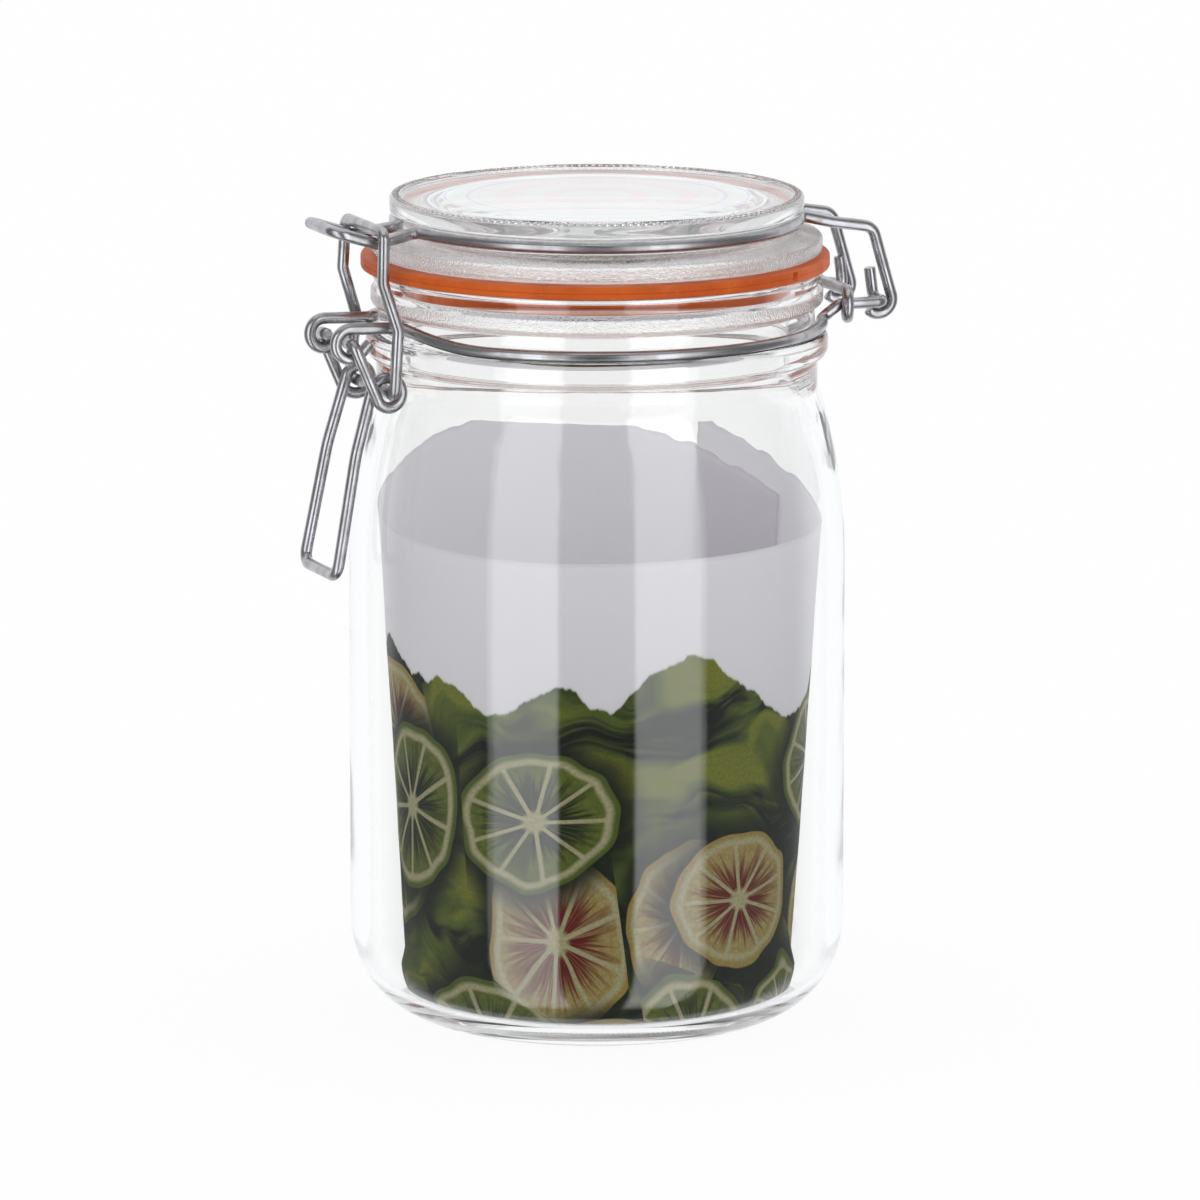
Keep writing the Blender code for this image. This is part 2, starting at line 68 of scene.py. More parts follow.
BODY_RADIUS = jar_high.y
RIM_TOP = jar_high.z
CROWN_TOP = lid_high.z
FLANGE_RADIUS = lid_high.y
SEAL_RADIUS = seal_high.y
SEAL_BASE, SEAL_TOP = seal_low.z, seal_high.z
PAPER_FOOT = paper_low.z
HINGE, LEVER, BAIL = pivots["lid_hinge"], pivots["lever_pivot"], pivots["bail_pivot"]
print(f"jar {RIM_TOP * 1000:.1f} mm to its rim, {CROWN_TOP * 1000:.1f} mm to the top of the lid")

# %% [markdown]
# The glass has many small sizes: walls, edges, steps and grooves. They were judged on the
# photograph against the seal, which is a standard one. The levels and radii under them
# are worked out from them, so that a groove stays beside its collar when one is changed.

# %% Small sizes of the glass
REST_GAP = 0.0003
WALL = 0.0040
FLOOR = 0.0046
FOOT_RADIUS = 0.0350
FOOT_WIDTH = 0.0040
PUSH_UP = 0.0022
HEEL_HEIGHT = 0.0220
INNER_HEEL_RADIUS = 0.0130
SHOULDER_HEIGHT = 0.0390
NECK_RADIUS = 0.0488
NECK_HEIGHT = 0.0066
COLLAR_PROUD = 0.0023
COLLAR_HEIGHT = 0.0054
GROOVE_DEPTH = 0.0006
GROOVE_HEIGHT = 0.0062
RIM_PROUD = 0.0018
RIM_HEIGHT = 0.0078
RIM_WAIST_DEPTH = 0.0011
RIM_WAIST_LEVEL = 0.0043
RIM_LIP_LEVEL = 0.0069
NECK_WALL = 0.0057
GLASS_EDGE = 0.0009
COLLAR_EDGE = 0.0016
FOOT_EDGE = 0.0012

RIM_BASE = RIM_TOP - RIM_HEIGHT
COLLAR_TOP = RIM_BASE - GROOVE_HEIGHT
COLLAR_BASE = COLLAR_TOP - COLLAR_HEIGHT
NECK_BASE = COLLAR_BASE - NECK_HEIGHT
SHOULDER_BASE = NECK_BASE - SHOULDER_HEIGHT
GROOVE_RADIUS = NECK_RADIUS - GROOVE_DEPTH
COLLAR_RADIUS = NECK_RADIUS + COLLAR_PROUD
RIM_RADIUS = GROOVE_RADIUS + RIM_PROUD
MOUTH_RADIUS = GROOVE_RADIUS - NECK_WALL
BORE_RADIUS = BODY_RADIUS - WALL

# %% [markdown]
# Every finish is a small tree of shader nodes. A few helpers keep the trees short to read:
# they add a node and wire its inputs, do sums with numbers or vectors, spread a value
# between two others, mix two colours, and make noise.

# %% Helpers for shader nodes
MOST_NOISE = (0.3, 0.7)


def wired(tree, kind, inputs=None, **settings):
    """A node of that kind, with its settings, and its inputs set or linked."""
    made = tree.nodes.new(kind)
    for name, value in settings.items():
        setattr(made, name, value)
    for name, value in (inputs or {}).items():
        if isinstance(value, bpy.types.NodeSocket):
            tree.links.new(value, made.inputs[name])
        else:
            made.inputs[name].default_value = value
    return made


def sums(tree, operation, *values):
    """The result of a Math node, whose values are numbers or sockets."""
    return wired(tree, "ShaderNodeMath", dict(enumerate(values)), operation=operation).outputs[0]


def vectors(tree, operation, *values, result="Vector"):
    """The result of a Vector Math node, whose values are vectors or sockets."""
    made = wired(tree, "ShaderNodeVectorMath", dict(enumerate(values)), operation=operation)
    return made.outputs[result]


def between(tree, value, low, high, low_result=0.0, high_result=1.0, smooth=True):
    """How far a value has come from low to high, from 0 to 1 or between the two results."""
    kind = "SMOOTHSTEP" if smooth else "LINEAR"
    inputs = {0: value, 1: low, 2: high, 3: low_result, 4: high_result}
    return wired(tree, "ShaderNodeMapRange", inputs, interpolation_type=kind).outputs[0]


def mixed(tree, share, first, second):
    """The first colour where share is 0, and the second where it is 1."""
    colours = {0: share, 6: first, 7: second}
    return wired(tree, "ShaderNodeMix", colours, data_type="RGBA").outputs[2]


def noise(tree, place, scale, detail=3.0, roughness=0.5):
    """The grey value of a noise pattern with so many cells to a metre."""
    inputs = {"Vector": place, "Scale": scale, "Detail": detail, "Roughness": roughness}
    return wired(tree, "ShaderNodeTexNoise", inputs).outputs[0]


def finish_named(name):
    """A new material with an empty tree and its output node."""
    made = bpy.data.materials.new(name)
    made.use_nodes = True
    made.node_tree.nodes.clear()
    return made, made.node_tree, made.node_tree.nodes.new("ShaderNodeOutputMaterial")


# %% [markdown]
# The marks on the glass keep to zones: some to a band of heights, some to a ring.
# A zone is a number that is 1 inside and 0 outside, with soft limits, so that it can
# multiply a pattern. The marks themselves are bumps, which bend the light without
# changing the mesh, as is right for forms of a tenth of a millimetre.

# %% Helpers for zones and relief
RADIUS_SOFT = 0.0001
LEVEL_SOFT = 0.0002


def zone(tree, value, low, high, soft=0.0006):
    """1 between the two limits and 0 outside them."""
    rising = between(tree, value, low - soft, low + soft)
    return sums(tree, "MULTIPLY", rising, between(tree, value, high - soft, high + soft, 1.0, 0.0))


def ring_zone(tree, radius, height, inner, outer, low, high):
    """1 between two radii and two heights, and 0 outside them."""
    across = zone(tree, radius, inner, outer, RADIUS_SOFT)
    return sums(tree, "MULTIPLY", across, zone(tree, height, low, high, LEVEL_SOFT))


def relief(tree, depth, height, skin=None, strength=1.0):
    """A bump of that depth in metres, over another bump where one is given."""
    inputs = {"Strength": strength, "Distance": depth, "Height": height}
    if skin is not None:
        inputs["Normal"] = skin
    return wired(tree, "ShaderNodeBump", inputs).outputs[0]


# %% [markdown]
# Four kinds of relief lie on the glass. Faint waves from the mould are everywhere, and
# deeper ones on the shoulder, where the glass sagged as it cooled. The rim and the flange
# are stippled, which hides the mould's wear. Low on the heel a knurl of short slanting
# ridges keeps the hot jar from sliding on the belt.

# %% The relief of the glass
WAVE_SCALE, WAVE_DEPTH = 45, 0.00008
SAG_SCALE, SAG_DEPTH = 70, 0.00032
SAG_LOW, SAG_HIGH, SAG_SOFT = 0.128, 0.143, 0.008
STIPPLE_SCALE, STIPPLE_DEPTH = 2200, 0.00012
KNURL_RIDGES, KNURL_SLANT, KNURL_DEPTH = 230, 1500, 0.0003
KNURL_INNER, KNURL_OUTER, KNURL_SOFT = 0.0362, 0.0415, 0.0004
KNURL_LEVELS = (0.003, 0.004)


def knurl(tree, split, radius):
    """Slanting ridges in a ring low on the heel, as heights from -1 to 1."""
    around = sums(tree, "MULTIPLY", sums(tree, "ARCTAN2", split[1], split[0]), KNURL_RIDGES)
    swirl = sums(tree, "ADD", around, sums(tree, "MULTIPLY", radius, KNURL_SLANT))
    ring = zone(tree, radius, KNURL_INNER, KNURL_OUTER, KNURL_SOFT)
    share = sums(tree, "MULTIPLY", ring, between(tree, split[2], *KNURL_LEVELS, 1.0, 0.0))
    return sums(tree, "MULTIPLY", sums(tree, "SINE", swirl), share)


def glass_skin(tree, place, split, radius, stipple_share):
    """The four kinds of relief, each over the one before."""
    waves = noise(tree, place, WAVE_SCALE, 1.0)
    sagged = zone(tree, split[2], SAG_LOW, SAG_HIGH, SAG_SOFT)
    sag = sums(tree, "MULTIPLY", noise(tree, place, SAG_SCALE, 2.0), sagged)
    cells = wired(tree, "ShaderNodeTexVoronoi", {"Vector": place, "Scale": STIPPLE_SCALE}).outputs
    stipple = sums(tree, "MULTIPLY", cells["Distance"], stipple_share)
    skin = relief(tree, WAVE_DEPTH, waves)
    skin = relief(tree, SAG_DEPTH, sag, skin)
    skin = relief(tree, STIPPLE_DEPTH, stipple, skin)
    return relief(tree, KNURL_DEPTH, knurl(tree, split, radius), skin)


# %% [markdown]
# The glass is soda-lime glass, shaped in an iron mould. It is clear with a breath of green
# and bends light at an index of 1.5. A plain glass shader is nearly invisible in a white
# room, so the tint deepens where the surface turns away from the eye. That stands for
# the long way light takes through an edge. Rings can be tinted or made milky.
# Lamps can't pass a bending surface in a path tracer, so for their rays the glass is clear.

# %% Finish: moulded glass
GLASS_INDEX = 1.5
CLEAR_GLASS, EDGE_GLASS = (0.996, 0.999, 0.997, 1), (0.80, 0.85, 0.82, 1)
SHADOW_GLASS = (0.96, 0.975, 0.965, 1)
EDGE_FACING = (0.70, 1.0)
TURNED_TO_EYE = (0.10, 0.35)
STIPPLE_ROUGHNESS = 0.08
MILKY_CLEARNESS = 0.25


def glass_finish(name, stippled, tinted, milky=None):
    """Glass with a stippled band between two heights, tinted rings and perhaps a milky one.

    A ring is given as its inner and outer radius and its lower and upper height.
    After them, a tinted ring has its colour and whether it fades where it turns from the eye.
    """
    made, tree, output = finish_named(name)
    place = wired(tree, "ShaderNodeTexCoord").outputs["Object"]
    split = wired(tree, "ShaderNodeSeparateXYZ", {0: place}).outputs
    height = split[2]
    squares = [sums(tree, "POWER", split[axis], 2.0) for axis in range(2)]
    radius = sums(tree, "SQRT", sums(tree, "ADD", *squares))
    facing = wired(tree, "ShaderNodeLayerWeight", {"Blend": 0.5}).outputs["Facing"]

    tint = mixed(tree, between(tree, facing, *EDGE_FACING), CLEAR_GLASS, EDGE_GLASS)
    turned_to_eye = between(tree, facing, *TURNED_TO_EYE, 1.0, 0.0)
    # Tinted rings carry print, and also painted shade and a painted reflection.
    for *limits, colour, fades in tinted:
        ring = ring_zone(tree, radius, height, *limits)
        if fades:
            ring = sums(tree, "MULTIPLY", ring, turned_to_eye)
        tint = mixed(tree, ring, tint, colour)
    clearness = 1.0
    if milky:
        milk = ring_zone(tree, radius, height, *milky)
        clearness = between(tree, milk, 0.0, 1.0, 1.0, MILKY_CLEARNESS)

    stipple_share = zone(tree, height, *stippled)
    glass = wired(tree, "ShaderNodeBsdfPrincipled", {
        "Base Color": tint, "IOR": GLASS_INDEX, "Transmission Weight": clearness,
        "Roughness": between(tree, stipple_share, 0.0, 1.0, 0.0, STIPPLE_ROUGHNESS),
        "Normal": glass_skin(tree, place, split, radius, stipple_share),
    }).outputs[0]
    clear = wired(tree, "ShaderNodeBsdfTransparent", {"Color": SHADOW_GLASS}).outputs[0]
    path = wired(tree, "ShaderNodeLightPath").outputs
    unbent = sums(tree, "MAXIMUM", path["Is Shadow Ray"], path["Is Diffuse Ray"])
    shader = wired(tree, "ShaderNodeMixShader", {0: unbent, 1: glass, 2: clear}).outputs[0]
    tree.links.new(shader, output.inputs["Surface"])
    return made


# %% [markdown]
# Under the seal, the rim's glass mirrors the rubber as a brown band. That image comes from
# rays that turn back inside the rim, and rendering finds only some of them.
# So the rim has a painted reflection, a tinted ring that stands for it and fades as the glass turns
# away.

# %% Finish: the jar's glass
# A painted reflection of the seal, as a brown tint in the rim's glass.
SEAL_REFLECTION = (0.26, 0.060, 0.026, 1)
RIM_STIPPLE = (RIM_BASE + 0.0006, RIM_BASE + 0.0030)
REFLECTION_RING = (RIM_RADIUS - 0.0030, RIM_RADIUS + 0.0010, RIM_TOP - 0.0036, RIM_TOP - 0.0016)
jar_finish = glass_finish("jar_glass_finish", RIM_STIPPLE, [(*REFLECTION_RING, SEAL_REFLECTION, True)])
print("the jar's glass finish made")

# %% [markdown]
# The wire is spring steel with a thin bright plating. It was drawn through a die,
# so fine marks run along it, and handling has dulled it in patches.
# Each wire's mesh carries an attribute with the place around and along the wire.
# Noise that is stretched along it makes the drawn marks, whatever way the wire bends.

# %% Finish: plated wire
BRIGHT_PLATE, DULL_PLATE = (0.51, 0.505, 0.53, 1), (0.39, 0.38, 0.385, 1)
PLATE_ROUGHNESS, DULL_ROUGHNESS = (0.20, 0.36), 0.08
PATCH_SCALE, PATCH_EDGE, ROUGH_EDGE = 260, (0.35, 0.7), (0.4, 0.7)
MARKS_STRETCH = (5.0, 5.0, 40.0)
MARKS_DEPTH, MARKS_STRENGTH = 0.00002, 0.6


def wire_finish(name):
    made, tree, output = finish_named(name)
    drawn = wired(tree, "ShaderNodeAttribute", attribute_name="wire_place").outputs["Vector"]
    stretched = wired(tree, "ShaderNodeMapping", {"Vector": drawn, "Scale": MARKS_STRETCH}).outputs[0]
    marks = noise(tree, stretched, 1.0, 4.0, 0.6)
    place = wired(tree, "ShaderNodeTexCoord").outputs["Object"]
    patches = noise(tree, place, PATCH_SCALE, 3.0)
    colour = mixed(tree, between(tree, patches, *PATCH_EDGE), BRIGHT_PLATE, DULL_PLATE)
    streaks = between(tree, marks, *MOST_NOISE, *PLATE_ROUGHNESS)
    dulled = between(tree, patches, *ROUGH_EDGE, 0.0, DULL_ROUGHNESS)
    shader = wired(tree, "ShaderNodeBsdfPrincipled", {
        "Base Color": colour, "Metallic": 1.0, "Roughness": sums(tree, "ADD", streaks, dulled),
        "Normal": relief(tree, MARKS_DEPTH, marks, strength=MARKS_STRENGTH),
    }).outputs[0]
    tree.links.new(shader, output.inputs["Surface"])
    return made


steel_finish = wire_finish("plated_wire_finish")
print("the wires' finish made")

# %% [markdown]
# The seal is natural rubber, moulded flat and coloured right through.
# It is satin rather than glossy, a little paler where it was handled,
# and the press leaves a fine grain on it.

# %% Finish: orange rubber
FRESH_RUBBER, AGED_RUBBER = (0.58, 0.098, 0.003, 1), (0.48, 0.070, 0.002, 1)
CLOUD_SCALE, CLOUD_EDGE = 70, (0.35, 0.65)
BLOOM, BLOOM_SCALE, BLOOM_EDGE, BLOOM_SHARE = (0.70, 0.22, 0.06, 1), 900, (0.55, 0.8), 0.25
RUBBER_ROUGHNESS, RUBBER_GLOSS = (0.42, 0.58), 0.3
PRESS_SCALE, PRESS_DEPTH, PRESS_STRENGTH = 2600, 0.00004, 0.5


def rubber_finish(name):
    made, tree, output = finish_named(name)
    place = wired(tree, "ShaderNodeTexCoord").outputs["Object"]
    clouds = noise(tree, place, CLOUD_SCALE, 4.0, 0.6)
    rubber = mixed(tree, between(tree, clouds, *CLOUD_EDGE), FRESH_RUBBER, AGED_RUBBER)
    bloom = between(tree, noise(tree, place, BLOOM_SCALE, 2.0), *BLOOM_EDGE, 0.0, BLOOM_SHARE)
    grain = noise(tree, place, PRESS_SCALE, 3.0)
    shader = wired(tree, "ShaderNodeBsdfPrincipled", {
        "Base Color": mixed(tree, bloom, rubber, BLOOM), "Specular IOR Level": RUBBER_GLOSS,
        "Roughness": between(tree, clouds, *MOST_NOISE, *RUBBER_ROUGHNESS),
        "Normal": relief(tree, PRESS_DEPTH, grain, strength=PRESS_STRENGTH),
    }).outputs[0]
    tree.links.new(shader, output.inputs["Surface"])
    return made


seal_finish = rubber_finish("orange_rubber_finish")
print("the rubber's finish made")

# %% [markdown]
# Turned shapes all come from one helper. It draws half a section as a chain of edges,
# rounds the corners that ask for it, and spins the chain about the jar's axis.
# A spin with many steps is slow, so only an eighth is spun, and it is doubled three times.
# Points that meet, at the seams and on the axis, melt into one. Glass that is inside out
# would mirror everything, so the faces are turned outwards and the volume is checked.

# %% Helpers for turned shapes
AROUND = 240
DOUBLINGS = 3
ARC_STEP = radians(10)
MERGE_DISTANCE = 0.000001
SMOOTH_ANGLE = radians(35)


def rounded(corners, arc_step=ARC_STEP):
    """Points along a line whose corners, given as (point, bend radius), are rounded off."""
    path = []
    for index, (corner, radius) in enumerate(corners):
        corner = Vector(corner)
        if radius == 0 or index in (0, len(corners) - 1):
            path.append(corner)
            continue
        back = (Vector(corners[index - 1][0]) - corner).normalized()
        ahead = (Vector(corners[index + 1][0]) - corner).normalized()
        opening = back.angle(ahead)
        centre = corner + (back + ahead).normalized() * radius / sin(opening / 2)
        first = (corner + back * radius / tan(opening / 2) - centre).normalized()
        last = (corner + ahead * radius / tan(opening / 2) - centre).normalized()
        across = (last - first * first.dot(last)).normalized()
        turn = pi - opening
        steps = max(2, ceil(turn / arc_step))
        for step in range(steps + 1):
            angle = turn * step / steps
            path.append(centre + radius * (cos(angle) * first + sin(angle) * across))
    return path


def finished(name, shape, finishes, body, slot, *replaced):
    """The bmesh as a smooth piece that rides on a body and stands for CAD nodes."""
    mesh = bpy.data.meshes.new(name)
    shape.to_mesh(mesh)
    shape.free()
    mesh.shade_smooth()
    mesh.set_sharp_from_angle(angle=SMOOTH_ANGLE)
    for finish in finishes:
        mesh.materials.append(finish)
    piece = bpy.data.objects.new(name, mesh)
    bpy.context.collection.objects.link(piece)
    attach(piece, body)
    if replaced:
        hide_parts(*replaced)
    print(f"{name}: {len(mesh.polygons)} faces")
    return piece


def points_of(geometry):
    return [part for part in geometry if isinstance(part, bmesh.types.BMVert)]


def turned(outline, around=AROUND, arc_step=ARC_STEP):
    """A closed bmesh of revolution, from an outline of (radius, height, edge radius)."""
    corners = [(Vector((radius, 0, height)), edge) for radius, height, edge in outline]
    if outline[0][0] > 0:
        corners.append(corners[0])
    shape = bmesh.new()
    profile = [shape.verts.new(point) for point in rounded(corners, arc_step)]
    for first, second in zip(profile, profile[1:]):
        shape.edges.new((first, second))
    bmesh.ops.spin(
        shape, geom=shape.verts[:] + shape.edges[:], cent=(0, 0, 0), axis=(0, 0, 1),
        angle=2 * pi / 2**DOUBLINGS, steps=around // 2**DOUBLINGS,
    )
    for doubling in range(DOUBLINGS, 0, -1):
        whole = shape.verts[:] + shape.edges[:] + shape.faces[:]
        copy = bmesh.ops.duplicate(shape, geom=whole)["geom"]
        turn = Matrix.Rotation(2 * pi / 2**doubling, 3, "Z")
        bmesh.ops.rotate(shape, verts=points_of(copy), cent=(0, 0, 0), matrix=turn)
    bmesh.ops.remove_doubles(shape, verts=shape.verts, dist=MERGE_DISTANCE)
    bmesh.ops.recalc_face_normals(shape, faces=shape.faces)
    if shape.calc_volume(signed=True) < 0:
        bmesh.ops.reverse_faces(shape, faces=shape.faces)
    return shape


# %% [markdown]
# The jar is blown into a mould, so its outside is crisp and its inside is soft.
# The outline runs from the middle of the base outwards, up the heel, wall and shoulder,
# over the neck's collar, wire groove and rim, and then down the inside.

# %% The jar
HEEL_STEPS = 24
SHOULDER_STEPS = 24
INNER_HEEL_STEPS = 14


def heel_points():
    """Outer heel, a quarter ellipse from the foot ring to the straight wall."""
    for step in range(HEEL_STEPS + 1):
        angle = pi / 2 * step / HEEL_STEPS
        radius = FOOT_RADIUS + (BODY_RADIUS - FOOT_RADIUS) * sin(angle)
        yield radius, HEEL_HEIGHT * (1 - cos(angle)), 0


def shoulder_points(body_radius, neck_radius):
    """A shoulder that falls in as the square of its height."""
    for step in range(SHOULDER_STEPS + 1):
        share = step / SHOULDER_STEPS
        radius = body_radius - (body_radius - neck_radius) * share**2
        yield radius, SHOULDER_BASE + SHOULDER_HEIGHT * share, 0


def inner_heel_points():
    """Rounded corner between the wall and the floor, from the wall down."""
    for step in range(INNER_HEEL_STEPS + 1):
        angle = pi / 2 * step / INNER_HEEL_STEPS
        radius = BORE_RADIUS - INNER_HEEL_RADIUS * (1 - cos(angle))
        yield radius, FLOOR + INNER_HEEL_RADIUS * (1 - sin(angle)), 0


def jar_outline():
    waist_level = RIM_BASE + RIM_WAIST_LEVEL
    foot_bore = FOOT_RADIUS - FOOT_WIDTH
    outside = [
        (0, PUSH_UP, 0),
        (foot_bore - PUSH_UP, PUSH_UP, FOOT_EDGE),
        (foot_bore, 0, FOOT_EDGE),
        *heel_points(),
        *shoulder_points(BODY_RADIUS, NECK_RADIUS),
        (NECK_RADIUS, COLLAR_BASE, GLASS_EDGE),
        (COLLAR_RADIUS, COLLAR_BASE, COLLAR_EDGE),
        (COLLAR_RADIUS, COLLAR_TOP, COLLAR_EDGE),
        (GROOVE_RADIUS, COLLAR_TOP, GLASS_EDGE),
        (GROOVE_RADIUS, RIM_BASE, GLASS_EDGE),
        (RIM_RADIUS, RIM_BASE, GLASS_EDGE),
        (RIM_RADIUS, waist_level - RIM_WAIST_DEPTH, GLASS_EDGE),
        (RIM_RADIUS - RIM_WAIST_DEPTH, waist_level, GLASS_EDGE / 2),
        (RIM_RADIUS, RIM_BASE + RIM_LIP_LEVEL, GLASS_EDGE),
        (RIM_RADIUS, RIM_TOP, GLASS_EDGE / 2),
    ]
    inside = [
        (MOUTH_RADIUS, RIM_TOP, GLASS_EDGE),
        (MOUTH_RADIUS, COLLAR_BASE, NECK_HEIGHT),
        *reversed(list(shoulder_points(BORE_RADIUS, NECK_RADIUS - WALL))),
        *inner_heel_points(),
        (0, FLOOR, 0),
    ]
    return outside + inside


finished("jar_body", turned(jar_outline()), [jar_finish], "jar", "clear_glass", "jar_glass")

# %% [markdown]
# The lid is pressed glass. Its flange lies on the seal, a groove takes the lid's wire,
# and the crown carries a ring of beads round a sunk panel. A plug reaches into the mouth.

# %% The lid
FLANGE_HEIGHT = 0.0046
SHELF_RISE = 0.0010
LID_GROOVE_DEPTH = 0.0028
LID_GROOVE_HEIGHT = 0.0032
CROWN_INSET = 0.0040
CROWN_RIDGE_WIDTH = 0.0018
CROWN_PANEL_DEPTH = 0.0006
LID_TOP_THICKNESS = 0.0042
PLUG_WALL = 0.0018
PLUG_DEPTH = 0.0018
PLUG_CLEARANCE = 0.0010
CEILING_EDGE = 0.0050

LID_BASE = SEAL_TOP + REST_GAP
FLANGE_TOP = LID_BASE + FLANGE_HEIGHT
FLANGE_EDGE_TOP = FLANGE_TOP - SHELF_RISE
SHELF_TOP = FLANGE_TOP + SHELF_RISE
CROWN_BASE = SHELF_TOP + LID_GROOVE_HEIGHT
CROWN_RADIUS = FLANGE_RADIUS - CROWN_INSET
LID_GROOVE_RADIUS = CROWN_RADIUS - LID_GROOVE_DEPTH
PLUG_RADIUS = MOUTH_RADIUS - PLUG_CLEARANCE
PANEL_RADIUS = CROWN_RADIUS - CROWN_RIDGE_WIDTH - GLASS_EDGE
PANEL = CROWN_TOP - CROWN_PANEL_DEPTH

# The ring of beads, pressed into the inner half of the crown's ridge
BEADS = 168
BEAD_STEPS = 6
BEAD_RADIUS = 0.0007
BEAD_DEPTH = 0.0007
BEAD_MARGIN = 0.0001
BEAD_RING = PANEL_RADIUS + CROWN_PANEL_DEPTH + BEAD_RADIUS + BEAD_MARGIN
BEAD_ROWS = 8
LID_ARC_STEP = radians(18)


def bead_rows():
    """Level points across the ring of beads, from the outside in."""
    for row in range(BEAD_ROWS + 1):
        yield BEAD_RING + BEAD_RADIUS * (1 - 2 * row / BEAD_ROWS), CROWN_TOP, 0


def press_beads(shape):
    """Sink the ridge between the beads, so that their tops keep the lid's height."""
    for point in shape.verts:
        across = (point.co.xy.length - BEAD_RING) / BEAD_RADIUS
        if abs(across) < 1 and point.co.z > CROWN_TOP - MERGE_DISTANCE:
            wave = (1 - cos(BEADS * atan2(point.co.y, point.co.x))) / 2
            point.co.z -= BEAD_DEPTH * (across**2 + (1 - across**2) * wave)


def lid_outline():
    ceiling = PANEL - LID_TOP_THICKNESS
    plug_bore = PLUG_RADIUS - PLUG_WALL
    return [
        (0, ceiling, 0),
        (plug_bore, ceiling, CEILING_EDGE),
        (plug_bore, LID_BASE - PLUG_DEPTH, GLASS_EDGE / 2),
        (PLUG_RADIUS, LID_BASE - PLUG_DEPTH, GLASS_EDGE / 2),
        (PLUG_RADIUS, LID_BASE, GLASS_EDGE / 2),
        (FLANGE_RADIUS, LID_BASE, GLASS_EDGE),
        (FLANGE_RADIUS, FLANGE_EDGE_TOP, GLASS_EDGE),
        (LID_GROOVE_RADIUS, SHELF_TOP, GLASS_EDGE),
        (LID_GROOVE_RADIUS, CROWN_BASE, GLASS_EDGE),
        (CROWN_RADIUS, CROWN_BASE, GLASS_EDGE),
        (CROWN_RADIUS, CROWN_TOP, GLASS_EDGE),
        *bead_rows(),
        (PANEL_RADIUS + CROWN_PANEL_DEPTH, CROWN_TOP, 0),
        (PANEL_RADIUS, PANEL, CROWN_PANEL_DEPTH / 2),
        (0, PANEL, 0),
    ]


# %% [markdown]
# The lid is the same glass with three things more. The valleys between the beads get
# a little painted shade. The panel is printed with thin milky ink, in rings of lavender and rose.
# The stipple covers the flange up to its sloping top, so the print below doesn't show there.

# %% Finish: the lid's glass
FLANGE_STIPPLE = (SEAL_TOP + 0.0009, SEAL_TOP + 0.0053)
# Painted shade: a dark tint in the valleys between the beads.
VALLEY_SHADE = (0.20, 0.21, 0.20, 1)
VALLEY_LEVELS = (CROWN_TOP - 0.0010, CROWN_TOP - 0.00045)
LAVENDER, ROSE = (0.72, 0.71, 0.93, 1), (0.97, 0.84, 0.88, 1)
INK_LEVELS = (PANEL - 0.0004, PANEL + 0.0004)
MILKY_RADIUS = 0.0343
PRINTED_RINGS = [
    (0.0336, 0.0006, LAVENDER), (0.0285, 0.0007, LAVENDER), (0.0262, 0.0005, ROSE),
    (0.0205, 0.0040, ROSE), (0.0100, 0.0040, ROSE),
]


def lid_rings():
    """The painted shade in the valleys and the printed rings, as a glass finish takes them."""
    half = BEAD_RADIUS / 2
    yield BEAD_RING - half, BEAD_RING + half, *VALLEY_LEVELS, VALLEY_SHADE, False
    for radius, width, colour in PRINTED_RINGS:
        yield radius - width / 2, radius + width / 2, *INK_LEVELS, colour, False


milky_panel = (-RADIUS_SOFT, MILKY_RADIUS, *INK_LEVELS)
lid_finish = glass_finish("lid_glass_finish", FLANGE_STIPPLE, lid_rings(), milky_panel)
print(f"the lid's glass finish made, with {len(PRINTED_RINGS)} printed rings")

# %% [markdown]
# The lid's mesh is spun with six steps to a bead, and then the ridge is sunk between
# the beads. A bead could be a small ball set on the lid, but 168 balls would be
# 168 shells, and pressed glass is one skin.

# %% The lid's mesh
lid_shape = turned(lid_outline(), BEADS * BEAD_STEPS, LID_ARC_STEP)
press_beads(lid_shape)
finished("jar_lid", lid_shape, [lid_finish], "lid", "lid_glass", "lid_glass")

# %% [markdown]
# The seal is a flat ring. Real rubber is cut with soft edges and shows a fine
# parting line round its rim, so the outline gets a shallow groove there.
# The ring is never quite true: its rim wavers a little, it has slipped inwards on one side,
# and it has a small nick. The closed clip presses it on the jar's rim. Where it touches the
# glass no air is left, so its colour shines through. That is why its inner part reaches lower.

# %% The seal
SEAL_BORE_GAP = 0.0007
SEAL_EDGE = 0.0005
PARTING_DEPTH = 0.0001
CONTACT = 0.00004
PRESSED_INSET = 0.0008
SEAL_BORE = MOUTH_RADIUS + SEAL_BORE_GAP
PRESSED_RADIUS = RIM_RADIUS - PRESSED_INSET
SEAL_WAVER = 0.00022
SEAL_SLIP, SLIP_SIDE = 0.0008, radians(-21.5)
NICK_ANGLE, NICK_WIDTH, NICK_DEPTH = radians(-54.5), radians(0.9), 0.0011
NICK_LOW_SHARE, NICK_HIGH_SHARE, NICK_REACH_SHARE = 0.25, 0.90, 0.9


def seal_outline():
    middle = (SEAL_BASE + SEAL_TOP) / 2
    return [
        (SEAL_BORE, RIM_TOP - CONTACT, 0),
        (PRESSED_RADIUS, RIM_TOP - CONTACT, 0),
        (PRESSED_RADIUS + SEAL_EDGE, SEAL_BASE, 0),
        (SEAL_RADIUS, SEAL_BASE, SEAL_EDGE),
        (SEAL_RADIUS, middle - PARTING_DEPTH, 0),
        (SEAL_RADIUS - PARTING_DEPTH, middle, 0),
        (SEAL_RADIUS, middle + PARTING_DEPTH, 0),
        (SEAL_RADIUS, SEAL_TOP, SEAL_EDGE),
        (SEAL_BORE, SEAL_TOP, SEAL_EDGE),
    ]


